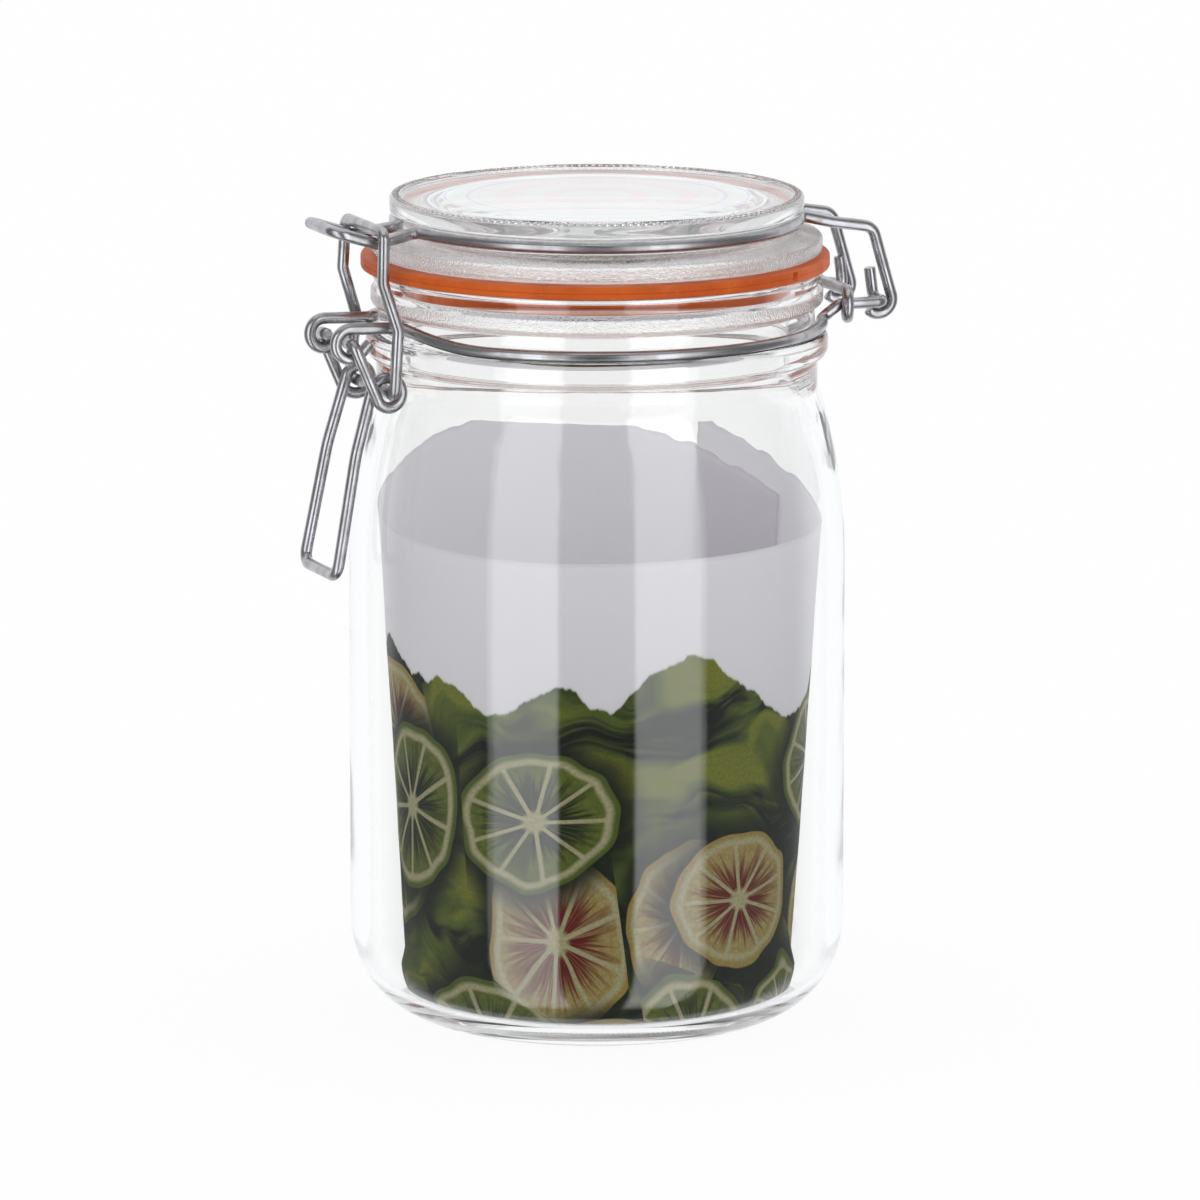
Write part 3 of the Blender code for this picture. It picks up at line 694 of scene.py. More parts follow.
def waver(shape):
    """Pull the rim in by small uneven amounts, more on the side that slipped and at the nick."""
    for point in shape.verts:
        angle = atan2(point.co.y, point.co.x)
        share = (point.co.xy.length - SEAL_BORE) / (SEAL_RADIUS - SEAL_BORE)
        up_share = (point.co.z - SEAL_BASE) / (SEAL_TOP - SEAL_BASE)
        pull = SEAL_WAVER * share * (2 + sin(3 * angle + 1) + sin(7 * angle + 2)) / 4
        pull += SEAL_SLIP * max(share, 0) * max(cos(angle - SLIP_SIDE), 0)**2
        on_rim = share > NICK_REACH_SHARE and NICK_LOW_SHARE < up_share < NICK_HIGH_SHARE
        if on_rim and abs(angle - NICK_ANGLE) < NICK_WIDTH:
            pull += NICK_DEPTH
        point.co -= pull * Vector((cos(angle), sin(angle), 0))


seal_shape = turned(seal_outline(), 2 * AROUND)
waver(seal_shape)
finished("seal_ring", seal_shape, [seal_finish], "lid", "orange_rubber", "rubber_seal")

# %% [markdown]
# A wire is a circle that is pushed along its bent line. The circle starts at the cut end,
# each step extrudes its edges, and the new ring is turned with the line and moved on.
# Every point keeps its place around and along the wire for the finish to read.

# %% Helpers for wires
WIRE_RADIUS = 0.0013
WIRE_SIDES = 16
CUT_EDGE = 0.0002
RUNNING_GAP = 0.0004
TIGHT_BEND = 0.0022
PIN_BEND = 0.0019
SOFT_BEND = 0.0030
WIRE_PITCH = 2 * WIRE_RADIUS + RUNNING_GAP
RING_STEP = radians(3)
COIL_STEP = radians(12)


def ways(path):
    """The direction of a path at each of its points."""
    last = len(path) - 1
    for index in range(last + 1):
        before, after = path[max(index - 1, 0)], path[min(index + 1, last)]
        here = path[index]
        into = (here - before).normalized() if index else (after - here).normalized()
        out = (after - here).normalized() if index < last else into
        yield (into + out).normalized()


def swept(path):
    """A round wire along a path, with softened cut ends."""
    shape = bmesh.new()
    keep = shape.verts.layers.float_vector.new("wire_place")
    directions = list(ways(path))
    turn = Vector((0, 0, 1)).rotation_difference(directions[0]).to_matrix()
    side, up = turn @ Vector((1, 0, 0)), turn @ Vector((0, 1, 0))
    ring = bmesh.ops.create_circle(
        shape, cap_ends=True, radius=WIRE_RADIUS, segments=WIRE_SIDES,
    )["verts"]
    bmesh.ops.rotate(shape, verts=ring, matrix=turn, cent=(0, 0, 0))
    bmesh.ops.translate(shape, verts=ring, vec=path[0])
    caps = list(shape.faces)
    edges = list(shape.edges)
    along = 0.0
    for index, here in enumerate(path):
        if index:
            made = bmesh.ops.extrude_edge_only(shape, edges=edges)["geom"]
            ring = points_of(made)
            new = set(ring)
            edges = [e for e in made if isinstance(e, bmesh.types.BMEdge) and set(e.verts) <= new]
            turn = directions[index - 1].rotation_difference(directions[index]).to_matrix()
            side, up = turn @ side, turn @ up
            step = here - path[index - 1]
            along += step.length
            bmesh.ops.rotate(shape, verts=ring, matrix=turn, cent=path[index - 1])
            bmesh.ops.translate(shape, verts=ring, vec=step)
        for point in ring:
            out = (point.co - here) / WIRE_RADIUS
            point[keep] = (out.dot(side), out.dot(up), along)
    caps += bmesh.ops.contextual_create(shape, geom=edges)["faces"]
    rims = list({edge for cap in caps for edge in cap.edges})
    bmesh.ops.bevel(
        shape, geom=rims, offset=CUT_EDGE, segments=2, profile=0.5, affect="EDGES", material=-1,
    )
    bmesh.ops.recalc_face_normals(shape, faces=shape.faces)
    return shape


def wire(name, corners, body, *replaced):
    return finished(name, swept(rounded(corners)), [steel_finish], body, "steel_wire", *replaced)


def sharp(points):
    return [(point, 0) for point in points]


def mirrored(corners):
    """The corners of the other half of a wire that is alike on both sides, in reverse order."""
    return [(Vector((point[0], -point[1], point[2])), radius) for point, radius in reversed(corners)]


def arc(centre, right, up, radius, start, end, drift=(0, 0, 0)):
    """Points of an arc from angle start to angle end, moving evenly by drift on the way."""
    steps = ceil(abs(end - start) / COIL_STEP)
    points = []
    for count in range(steps + 1):
        share = count / steps
        angle = start + (end - start) * share
        outward = cos(angle) * Vector(right) + sin(angle) * Vector(up)
        points.append(Vector(centre) + radius * outward + share * Vector(drift))
    return points


# %% [markdown]
# Two half wires lie in the groove under the rim. Each starts with an eye for the lever's pin,
# runs half round the neck, and ends in the hinge's bar, its pin and an upturned stub.
# They climb towards the clip, as the real ones do when the clip is shut.

# %% The neck wires
EYE_BEND = 0.0033
EYE_SPREAD = 0.0083
EYE_TAIL = 0.0032
EYE_END = radians(315)
RING_RISE_ANGLE = radians(40)
RING_CLEAR_SHARE = 1.5
HINGE_BAR_SPREAD = 0.0150
HINGE_FOOT_REACH = 0.0017
HOOK_SPREAD = 0.0117
STUB_HEIGHT = 0.0068
STUB_LEAN = 0.0009
RING_RADIUS = GROOVE_RADIUS + REST_GAP + WIRE_RADIUS
RING_LEVEL = COLLAR_TOP + REST_GAP + WIRE_RADIUS
ARM_LEVEL = RIM_BASE - REST_GAP - WIRE_RADIUS


def ring_corners(radius, level, first_spread, last_spread, rise=0):
    """Half a ring at +Y, from the clip side to the hinge side, rising towards the clip."""
    first_angle = pi - asin(first_spread / radius)
    last_angle = asin(last_spread / radius)
    clear_angle = RING_CLEAR_SHARE * TIGHT_BEND / radius
    sweep = first_angle - last_angle - 2 * clear_angle
    steps = ceil(sweep / RING_STEP)
    angles = [first_angle]
    for step in range(steps + 1):
        angles.append(first_angle - clear_angle - sweep * step / steps)
    angles.append(last_angle)
    corners = []
    for angle in angles:
        rising = max(0, 1 - (pi - angle) / RING_RISE_ANGLE)
        height = level + rise * sin(pi / 2 * rising) ** 2
        corners.append(((radius * cos(angle), radius * sin(angle), height), 0))
    corners[0] = (corners[0][0], TIGHT_BEND)
    corners[-1] = (corners[-1][0], TIGHT_BEND)
    return corners


def neck_wire_corners():
    eye = LEVER + Vector((0, EYE_SPREAD, 0))
    loop = arc(eye, (1, 0, 0), (0, 0, 1), EYE_BEND, EYE_END, pi / 2)
    tail = loop[0] + EYE_TAIL * Vector((-sin(EYE_END), 0, cos(EYE_END)))
    ring = ring_corners(RING_RADIUS, RING_LEVEL, EYE_SPREAD, HINGE_BAR_SPREAD, ARM_LEVEL - RING_LEVEL)
    pin_end = Vector((HINGE.x, HOOK_SPREAD - WIRE_PITCH, HINGE.z))
    return [
        (tail, 0),
        *sharp(loop),
        *ring,
        (Vector((RIM_RADIUS + HINGE_FOOT_REACH, HINGE_BAR_SPREAD, HINGE.z)), TIGHT_BEND),
        (Vector((HINGE.x, HINGE_BAR_SPREAD, HINGE.z)), PIN_BEND),
        (pin_end, PIN_BEND),
        (pin_end + Vector((-STUB_LEAN, 0, STUB_HEIGHT)), 0),
    ]


wire("neck_wire_far", neck_wire_corners(), "jar", "neck_wire_back")
wire("neck_wire_near", mirrored(neck_wire_corners()), "jar", "neck_wire_front")

# %% [markdown]
# A short tie hooks round both hinge bars and keeps the two half wires together.
# Its eyes are turned a little, so each is an ellipse that still clears the bar.

# %% The hinge tie
TIE_INSET = 0.0089
TIE_EYE_END = radians(-170)
TIE_TURN = radians(20)


def tie_corners():
    centre = Vector((HINGE.x - TIE_INSET, HINGE_BAR_SPREAD, HINGE.z))
    across = (-tan(TIE_TURN), 1, 0)
    return sharp(arc(centre, across, (0, 0, 1), WIRE_PITCH, TIE_EYE_END, pi / 2))


wire("tie_wire", tie_corners() + mirrored(tie_corners()), "jar", "hinge_tie")

# %% [markdown]
# One wire carries the lid: hooks round the hinge pins, arms over the flange,
# a ring in the lid's groove, and a tongue that the bail presses on.

# %% The lid wire
BAIL_BAR_REACH = 0.0022
BAIL_BAR_RISE = 0.0013
TONGUE_ROOT_SPREAD = 0.0053
TONGUE_SPREAD = 0.0090
TONGUE_REACH = 0.0103
TONGUE_RISE = 0.0033
TONGUE_DIP_SPREAD_SHARE = 0.9
HOOK_BEND = 0.0032
HOOK_START = radians(222)
LID_ARM_REACH = 0.0015
LID_ARM_DROP = 0.0036
LID_RING_RADIUS = LID_GROOVE_RADIUS + REST_GAP + WIRE_RADIUS
LID_RING_LEVEL = SHELF_TOP + REST_GAP + WIRE_RADIUS
BAIL_BAR = Vector((-(SEAL_RADIUS + BAIL_BAR_REACH), 0, LID_RING_LEVEL + BAIL_BAR_RISE))


def lid_wire_corners():
    """Half the lid wire, from the hook's cut end to the tongue's tip."""
    arm_level = FLANGE_EDGE_TOP + REST_GAP + WIRE_RADIUS
    over_flange = Vector((FLANGE_RADIUS + LID_ARM_REACH, HOOK_SPREAD, arm_level))
    shoulder = Vector((HINGE.x - LID_ARM_REACH, HOOK_SPREAD, LID_RING_LEVEL - LID_ARM_DROP))
    hook_centre = HINGE + Vector((0, HOOK_SPREAD, 0))
    run = shoulder - hook_centre
    lean = atan2(run.z, run.x) - acos(HOOK_BEND / sqrt(run.x**2 + run.z**2))
    hook = arc(hook_centre, (1, 0, 0), (0, 0, 1), HOOK_BEND, lean, HOOK_START - 2 * pi)
    ring = ring_corners(LID_RING_RADIUS, LID_RING_LEVEL, TONGUE_ROOT_SPREAD, HOOK_SPREAD)
    dip_spread = TONGUE_SPREAD * TONGUE_DIP_SPREAD_SHARE
    under_bar = Vector((BAIL_BAR.x, dip_spread, BAIL_BAR.z - WIRE_PITCH))
    tip = Vector((BAIL_BAR.x - TONGUE_REACH, TONGUE_SPREAD, under_bar.z + TONGUE_RISE))
    return [
        *sharp(reversed(hook)),
        (shoulder, SOFT_BEND),
        (over_flange, SOFT_BEND),
        *reversed(ring),
        (under_bar, SOFT_BEND),
        (tip, SOFT_BEND),
    ]


wire("lid_ring_wire", lid_wire_corners() + mirrored(lid_wire_corners()), "lid", "lid_wire")

# %% [markdown]
# The lever is one wire too: pins in the two eyes, cranks, a loop each side for the bail's pins,
# and the long handle that lies against the jar when the clip is shut.

# %% The lever
PIN_TAIL = 0.0010
LOOP_BEND = 0.0032
HANDLE_LENGTH = 0.0400
HANDLE_STANDOFF = 0.0102
HANDLE_SPREAD = 0.0105
HANDLE_BOW = 0.0009
HANDLE_SWEEP = 0.0300
HANDLE_BOW_SHARE = 0.35
CRANK_SPREAD = EYE_SPREAD + WIRE_PITCH
BAIL_SPREAD = CRANK_SPREAD + WIRE_PITCH


def lever_corners():
    pin_end = LEVER + Vector((0, EYE_SPREAD - WIRE_RADIUS - PIN_TAIL, 0))
    crank_top = LEVER + Vector((0, CRANK_SPREAD, 0))
    loop_centre = BAIL + Vector((0, CRANK_SPREAD, 0))
    handle_end = Vector((-(BODY_RADIUS + HANDLE_STANDOFF), HANDLE_SPREAD, BAIL.z - HANDLE_LENGTH))
    to_loop = loop_centre - crank_top
    crank_angle = atan2(to_loop.z, to_loop.x) - asin(LOOP_BEND / to_loop.length)
    to_end = handle_end - BAIL
    reach = sqrt(to_end.x**2 + to_end.z**2)
    handle_angle = atan2(to_end.z, to_end.x) + asin(LOOP_BEND / reach)
    start, end = crank_angle - pi / 2, handle_angle - pi / 2 + 2 * pi
    drift = (0, -WIRE_PITCH, 0)
    loop = arc(loop_centre, (1, 0, 0), (0, 0, 1), LOOP_BEND, start, end, drift)
    bow = loop[-1].lerp(handle_end, HANDLE_BOW_SHARE) + Vector((-HANDLE_BOW, 0, 0))
    return [
        (pin_end, 0),
        (crank_top, PIN_BEND),
        *sharp(loop),
        (bow, HANDLE_SWEEP),
        (handle_end, SOFT_BEND),
    ]


wire("lever_wire", lever_corners() + mirrored(lever_corners()), "lever", "lever")

# %% [markdown]
# The bail hangs in the lever's loops and hooks over the tongue.
# Its legs are kinked, so that they spring a little as the lever snaps over.

# %% The bail
BAIL_TOP_SPREAD = 0.0122
BAIL_KINK = 0.0018
BAIL_KINK_BACK = 0.0010
BAIL_LOW_SHARE = 0.40
BAIL_KINK_SHARE = 0.69


def bail_corners():
    pin_end = BAIL + Vector((0, EYE_SPREAD - WIRE_RADIUS - PIN_TAIL, 0))
    pin_corner = BAIL + Vector((0, BAIL_SPREAD, 0))
    bar_corner = Vector((BAIL_BAR.x, BAIL_TOP_SPREAD, BAIL_BAR.z))
    low = pin_corner.lerp(bar_corner, BAIL_LOW_SHARE) + Vector((BAIL_KINK, 0, 0))
    kink = pin_corner.lerp(bar_corner, BAIL_KINK_SHARE) - Vector((BAIL_KINK_BACK, 0, 0))
    return [
        (pin_end, 0),
        (pin_corner, PIN_BEND),
        (low, SOFT_BEND),
        (kink, SOFT_BEND),
        (bar_corner, TIGHT_BEND),
    ]


wire("bail_wire", bail_corners() + mirrored(bail_corners()), "bail", "bail")

# %% [markdown]
# The paper is a sheet rolled a little past one turn. A grid is rolled up by a formula,
# point by point, and keeps its flat shape as its UV map, in decimetres,
# so the print lies on it as it would on the flat sheet.
# The sheet was rolled a little askew: it climbs as it winds, and its far side stands
# highest. Its foot is narrower than its top, which springs out against the shoulder.

# %% The rolled sheet
PAPER_THICKNESS = 0.00025
PAPER_LAP_GAP = 0.0010
PAPER_FOOT_RADIUS = 0.0430
PAPER_CLEARANCE = 0.0005
PAPER_HEIGHT = 0.1074
PAPER_CLIMB = 0.0063
PAPER_TILT = 0.0100
PAPER_RIPPLE = 0.0023
PAPER_HIGH_SIDE = radians(90)
PAPER_START = radians(7.5)
PAPER_TURN = radians(392)
PAPER_COLUMNS = 280
PAPER_ROWS = 60
DECIMETRE = 0.1


def bore_at(height):
    """Inner radius of the jar's shoulder at a height."""
    share = max((height - SHOULDER_BASE) / SHOULDER_HEIGHT, 0)
    return BORE_RADIUS - (BORE_RADIUS - NECK_RADIUS + WALL) * share**2


def sheet_height(angle, turns):
    from_high_side = angle - PAPER_HIGH_SIDE
    slant = PAPER_TILT * cos(from_high_side) + PAPER_RIPPLE * cos(2 * from_high_side)
    return PAPER_HEIGHT + PAPER_CLIMB * turns + slant


def paper_place(across, up):
    """Where a point of the flat sheet goes, from its shares of the width and the height."""
    all_turns = PAPER_TURN / (2 * pi)
    angle = PAPER_START + PAPER_TURN * across
    height = sheet_height(angle, all_turns * across) * up
    highest = sheet_height(angle, all_turns)
    spread = bore_at(PAPER_FOOT + highest) - PAPER_CLEARANCE - PAPER_FOOT_RADIUS
    wound_in = PAPER_LAP_GAP * all_turns * (1 - across)
    radius = PAPER_FOOT_RADIUS + spread * height / highest - wound_in
    return Vector((radius * cos(angle), radius * sin(angle), PAPER_FOOT + height))


def rolled_sheet():
    shape = bmesh.new()
    bmesh.ops.create_grid(
        shape, x_segments=PAPER_COLUMNS, y_segments=PAPER_ROWS, size=0.5, calc_uvs=True,
    )
    flat = {point: (point.co.x + 0.5, point.co.y + 0.5) for point in shape.verts}
    width = PAPER_TURN * (PAPER_FOOT_RADIUS + BORE_RADIUS) / 2
    uv = shape.loops.layers.uv.verify()
    for point, (across, up) in flat.items():
        point.co = paper_place(across, up)
    for face in shape.faces:
        for loop in face.loops:
            across = flat[loop.vert][0]
            loop[uv].uv = (across * width / DECIMETRE, (loop.vert.co.z - PAPER_FOOT) / DECIMETRE)
    bmesh.ops.recalc_face_normals(shape, faces=shape.faces)
    return shape


# %% [markdown]
# The print is made up: slices of citrus fruit among leaves, drawn as an ink pattern.
# An image could be wrapped on the sheet, but a pattern stays sharp at any size.
# The cut flesh comes first. The bearing round the middle parts it into segments
# with pale skins, and noise of the bearing makes the juicy streaks.

# %% Helper: the flesh of a cut fruit
GOLD, LEAF, DARK = (0.50, 0.37, 0.11, 1), (0.14, 0.19, 0.025, 1), (0.010, 0.016, 0.008, 1)
PALE, WINE, PITH = (0.62, 0.54, 0.30, 1), (0.22, 0.012, 0.010, 1), (0.60, 0.56, 0.34, 1)
BRIGHT_LEAF = (0.30, 0.32, 0.035, 1)
PULP_SCALE, PULP_SHARE = 60, 0.55
STREAK_SCALE, STREAK_SPAN = 9.0, (0.35, 0.65)
INK_REACH, INK_FADE = (0.46, 0.90), (-0.22, 0.06)
PALE_STREAKS, PALE_SHARE = (0.50, 0.62), 0.55
SEGMENTS = 9
SKIN_WIDTH, SKIN_EDGE, SKIN_CORE = 0.035, (0.46, 0.52), 0.05


def fruit_flesh(tree, kind, flat, bearing, own, out):
    """Colour of the segments: ink that reaches out in streaks, pulp, and pale skins."""
    pulp = between(tree, noise(tree, flat, PULP_SCALE, 3.0), *MOST_NOISE, 0.0, PULP_SHARE)
    light = mixed(tree, kind, PALE, BRIGHT_LEAF)
    grainy = mixed(tree, pulp, mixed(tree, kind, GOLD, LEAF), light)
    streaks = noise(tree, own, STREAK_SCALE, 3.0, 0.7)
    past_ink = sums(tree, "SUBTRACT", out, between(tree, streaks, *STREAK_SPAN, *INK_REACH))
    inked = mixed(tree, between(tree, past_ink, *INK_FADE), mixed(tree, kind, WINE, DARK), grainy)
    rayed = mixed(tree, between(tree, streaks, *PALE_STREAKS, 0.0, PALE_SHARE), inked, grainy)

    split = wired(tree, "ShaderNodeSeparateXYZ", {0: bearing}).outputs
    turns = sums(tree, "MULTIPLY", sums(tree, "ARCTAN2", split[1], split[0]), SEGMENTS / (2 * pi))
    off_middle = sums(tree, "ABSOLUTE", sums(tree, "SUBTRACT", sums(tree, "FRACT", turns), 0.5))
    skin = sums(tree, "DIVIDE", SKIN_WIDTH, sums(tree, "MAXIMUM", out, SKIN_CORE))
    at_skin = between(tree, sums(tree, "ADD", off_middle, skin), *SKIN_EDGE)
    return mixed(tree, at_skin, rayed, PITH)


# %% [markdown]
# A scatter of cells gives each slice a middle, a size, a turn and a kind by chance.
# The distance from the middle, as a share of the slice's own radius, then makes the core,
# the flesh, the pith and the rind, and a soft shade on the leaves round it.

# %% Helper: a scatter of fruit slices
SLICE_RADIUS, SLICE_SCATTER = 0.215, 0.62
SLICE_OVAL = (1.0, 1.25, 0.0)
SLICE_SIZES, SLICE_LUMPS = (0.80, 1.05), (0.93, 1.07)
LUMP_SCALE, LUMP_SPAN = 1.4, (0.2, 0.8)
KIND_SPLIT = (0.48, 0.52)
CORE_EDGE, FLESH_EDGE, PITH_EDGE, RIND_EDGE = (0.10, 0.20), (0.80, 0.86), (0.88, 0.96), (0.99, 1.01)
SHADE_EDGE, SHADE_DEPTH = (1.0, 1.45), 0.95


def fruit_slices(tree, flat, scale, shift, limit, ground, leafy):
    """Colour and share of one scatter of fruit slices, over a ground that is leafy in part."""
    moved = vectors(tree, "ADD", flat, shift)
    cells = wired(tree, "ShaderNodeTexVoronoi", {
        "Vector": moved, "Scale": scale, "Randomness": SLICE_SCATTER,
    }, voronoi_dimensions="2D").outputs
    chance = wired(tree, "ShaderNodeSeparateColor", {0: cells["Color"]}).outputs
    away = vectors(tree, "SUBTRACT", moved, cells["Position"])
    turn = sums(tree, "MULTIPLY", chance[0], 2 * pi)
    turned_away = wired(tree, "ShaderNodeVectorRotate", {
        "Vector": away, "Axis": (0, 0, 1), "Angle": turn,
    }).outputs[0]
    oval = vectors(tree, "MULTIPLY", turned_away, SLICE_OVAL)
    bearing = vectors(tree, "NORMALIZE", oval)
    own = vectors(tree, "ADD", bearing, cells["Color"])
    lumps = between(tree, noise(tree, own, LUMP_SCALE, 1.0), *LUMP_SPAN, *SLICE_LUMPS)
    size = between(tree, chance[2], 0.0, 1.0, *SLICE_SIZES, smooth=False)
    size = sums(tree, "MULTIPLY", sums(tree, "MULTIPLY", SLICE_RADIUS, lumps), size)
    out = sums(tree, "DIVIDE", vectors(tree, "LENGTH", oval, result="Value"), size)
    middle = wired(tree, "ShaderNodeSeparateXYZ", {0: cells["Position"]}).outputs[1]
    shown = sums(tree, "LESS_THAN", middle, limit + shift[1])

    kind = between(tree, chance[1], *KIND_SPLIT)
    colour = fruit_flesh(tree, kind, moved, bearing, own, out)
    colour = mixed(tree, between(tree, out, *CORE_EDGE), PITH, colour)
    colour = mixed(tree, between(tree, out, *FLESH_EDGE), colour, PITH)
    colour = mixed(tree, between(tree, out, *PITH_EDGE), colour, mixed(tree, kind, GOLD, LEAF))
    dimness = sums(tree, "MULTIPLY", between(tree, out, *SHADE_EDGE, SHADE_DEPTH, 0.0), leafy)
    shade = mixed(tree, sums(tree, "MULTIPLY", dimness, shown), ground, DARK)
    share = sums(tree, "MULTIPLY", between(tree, out, *RIND_EDGE, 1.0, 0.0), shown)
    return mixed(tree, share, shade, colour), sums(tree, "MAXIMUM", share, leafy)


# %% [markdown]
# The leaves are noise that is stretched along a slanting line, so that it reads as folds,
# and a much finer one for the veins. Both are bent by a coarse noise first,
# because leaves never lie straight.

# %% Helper: leaves
VEIN = (0.24, 0.26, 0.08, 1)
LEAF_BEND_SCALE, LEAF_BEND, LEAF_TURN = 3.0, (0.5, 0.5, 0.0), (0, 0, 0.7)
FOLD_STRETCH, VEIN_STRETCH = (2.2, 7.0, 1.0), (9.0, 60.0, 1.0)
DARK_EDGE, BRIGHT_EDGE, VEIN_EDGE = (0.40, 0.53), (0.51, 0.61), (0.5, 0.75)
VEIN_SHARE = 0.5


def leaves(tree, flat):
    """Leaves in greens from nearly black to yellow, with long soft folds."""
    warp = wired(tree, "ShaderNodeTexNoise", {
        "Vector": flat, "Scale": LEAF_BEND_SCALE, "Detail": 2.0,
    }).outputs["Color"]
    lying = {"Vector": vectors(tree, "MULTIPLY_ADD", warp, LEAF_BEND, flat), "Rotation": LEAF_TURN}
    folds = wired(tree, "ShaderNodeMapping", {**lying, "Scale": FOLD_STRETCH}).outputs[0]
    veins = wired(tree, "ShaderNodeMapping", {**lying, "Scale": VEIN_STRETCH}).outputs[0]
    depth = noise(tree, folds, 1.0, 3.0, 0.6)
    colour = mixed(tree, between(tree, depth, *DARK_EDGE), DARK, LEAF)
    colour = mixed(tree, between(tree, depth, *BRIGHT_EDGE), colour, BRIGHT_LEAF)
    veined = between(tree, noise(tree, veins, 1.0, 3.0, 0.6), *VEIN_EDGE, 0.0, VEIN_SHARE)
    return mixed(tree, veined, colour, VEIN)


# %% [markdown]
# The sheet is white above and printed below, up to an uneven edge of leaves.
# Two scatters of slices lie over each other, and fine specks stand for the grain of print.
# Paper lets light through, so half of its shader is translucent, and its ink glows less.

# %% Finish: printed paper
PAPER_FACE, PAPER_GLOW = (0.85, 0.835, 0.885, 1), (0.975, 0.96, 0.985, 1)
HILL_SCALE, HILL_HEIGHTS = 2.6, (0.62, 0.88)
TATTER_SCALE, TATTER_HEIGHTS = 9.0, (-0.025, 0.025)
PRINT_SOFT = 0.004
SCATTERS = [(2.4, (3.30, 1.90, 0), 0.70), (2.1, (1.15, 2.62, 0), 0.60)]
SPECK, SPECK_SCALE, SPECK_SPAN, SPECK_SHARE = (0.05, 0.055, 0.03, 1), 150, (0.35, 0.65), 0.22
PAPER_ROUGHNESS, PAPER_GLOSS, TRANSLUCENCE = 0.55, 0.2, 0.56


def paper_finish(name):
    made, tree, output = finish_named(name)
    flat = wired(tree, "ShaderNodeUVMap").outputs[0]
    split = wired(tree, "ShaderNodeSeparateXYZ", {0: flat}).outputs
    along = wired(tree, "ShaderNodeCombineXYZ", {"X": split[0], "Y": 0.0, "Z": 0.0}).outputs[0]
    hills = noise(tree, along, HILL_SCALE, 1.0)
    hills = between(tree, hills, *MOST_NOISE, *HILL_HEIGHTS, smooth=False)
    tatters = noise(tree, along, TATTER_SCALE, 4.0, 0.6)
    tatters = between(tree, tatters, *MOST_NOISE, *TATTER_HEIGHTS, smooth=False)
    below = sums(tree, "SUBTRACT", sums(tree, "ADD", hills, tatters), split[1])
    inked = between(tree, below, -PRINT_SOFT, PRINT_SOFT)

    colour = mixed(tree, inked, PAPER_FACE, leaves(tree, flat))
    for scale, shift, limit in SCATTERS:
        colour, inked = fruit_slices(tree, flat, scale, shift, limit, colour, inked)
    speck = between(tree, noise(tree, flat, SPECK_SCALE, 2.0), *SPECK_SPAN, 0.0, SPECK_SHARE)
    colour = mixed(tree, sums(tree, "MULTIPLY", speck, inked), colour, SPECK)
    face = wired(tree, "ShaderNodeBsdfPrincipled", {
        "Base Color": colour, "Roughness": PAPER_ROUGHNESS, "Specular IOR Level": PAPER_GLOSS,
    }).outputs[0]
    glow = mixed(tree, inked, PAPER_GLOW, colour)
    through = wired(tree, "ShaderNodeBsdfTranslucent", {"Color": glow}).outputs[0]
    shader = wired(tree, "ShaderNodeMixShader", {0: TRANSLUCENCE, 1: face, 2: through}).outputs[0]
    tree.links.new(shader, output.inputs["Surface"])
    return made


sheet_finish = paper_finish("printed_paper_finish")
sheet = finished("paper_roll", rolled_sheet(), [sheet_finish], "jar", "white_paper", "paper_insert")
thickness = sheet.modifiers.new("Thickness", "SOLIDIFY")
thickness.thickness = PAPER_THICKNESS
thickness.offset = 0

# %% [markdown]
# The camera's side comes first, because the studio is built round it:
# the photographer stood far off, a little above the lid, and turned towards the clip.

# %% Which way the camera looks
CAMERA_AZIMUTH = radians(-21.5)
to_viewer = Vector((sin(CAMERA_AZIMUTH), -cos(CAMERA_AZIMUTH), 0))
right = Vector((cos(CAMERA_AZIMUTH), sin(CAMERA_AZIMUTH), 0))
print("the way to the viewer:", [round(part, 3) for part in to_viewer])

# %% [markdown]
# The studio is white all round. Camera rays and bent rays meet plain white, and the floor
# shows the same white but keeps a trace of the jar's shadow. A real floor would also
# be mirrored in the upright glass, as a pale veil over the print. The photograph has none,
# so mirrored rays pass the floor.

# %% The floor
FLOOR_SIZE = 8.0
FLOOR_LIT, WHITE = (0.92, 0.92, 0.92, 1), (1, 1, 1, 1)
FLOOR_WHITE_SHARE = 0.93


def floor_finish():
    """White paper that mirrored rays pass, so that no veil of it lies on the glass."""
    made, tree, output = finish_named("floor_finish")
    path = wired(tree, "ShaderNodeLightPath").outputs
    seen = sums(tree, "MAXIMUM", path["Is Camera Ray"], path["Is Glossy Ray"])
    seen = sums(tree, "MAXIMUM", seen, path["Is Transmission Ray"])
    share = sums(tree, "MULTIPLY", seen, FLOOR_WHITE_SHARE)
    lit = wired(tree, "ShaderNodeBsdfDiffuse", {"Color": FLOOR_LIT}).outputs[0]
    white = wired(tree, "ShaderNodeEmission", {"Color": WHITE, "Strength": 1.0}).outputs[0]
    paper = wired(tree, "ShaderNodeMixShader", {0: share, 1: lit, 2: white}).outputs[0]
    mirrored_ray = sums(tree, "MINIMUM", path["Glossy Depth"], 1.0)
    gone = wired(tree, "ShaderNodeBsdfTransparent").outputs[0]
    shader = wired(tree, "ShaderNodeMixShader", {0: mirrored_ray, 1: paper, 2: gone}).outputs[0]
    tree.links.new(shader, output.inputs["Surface"])
    return made


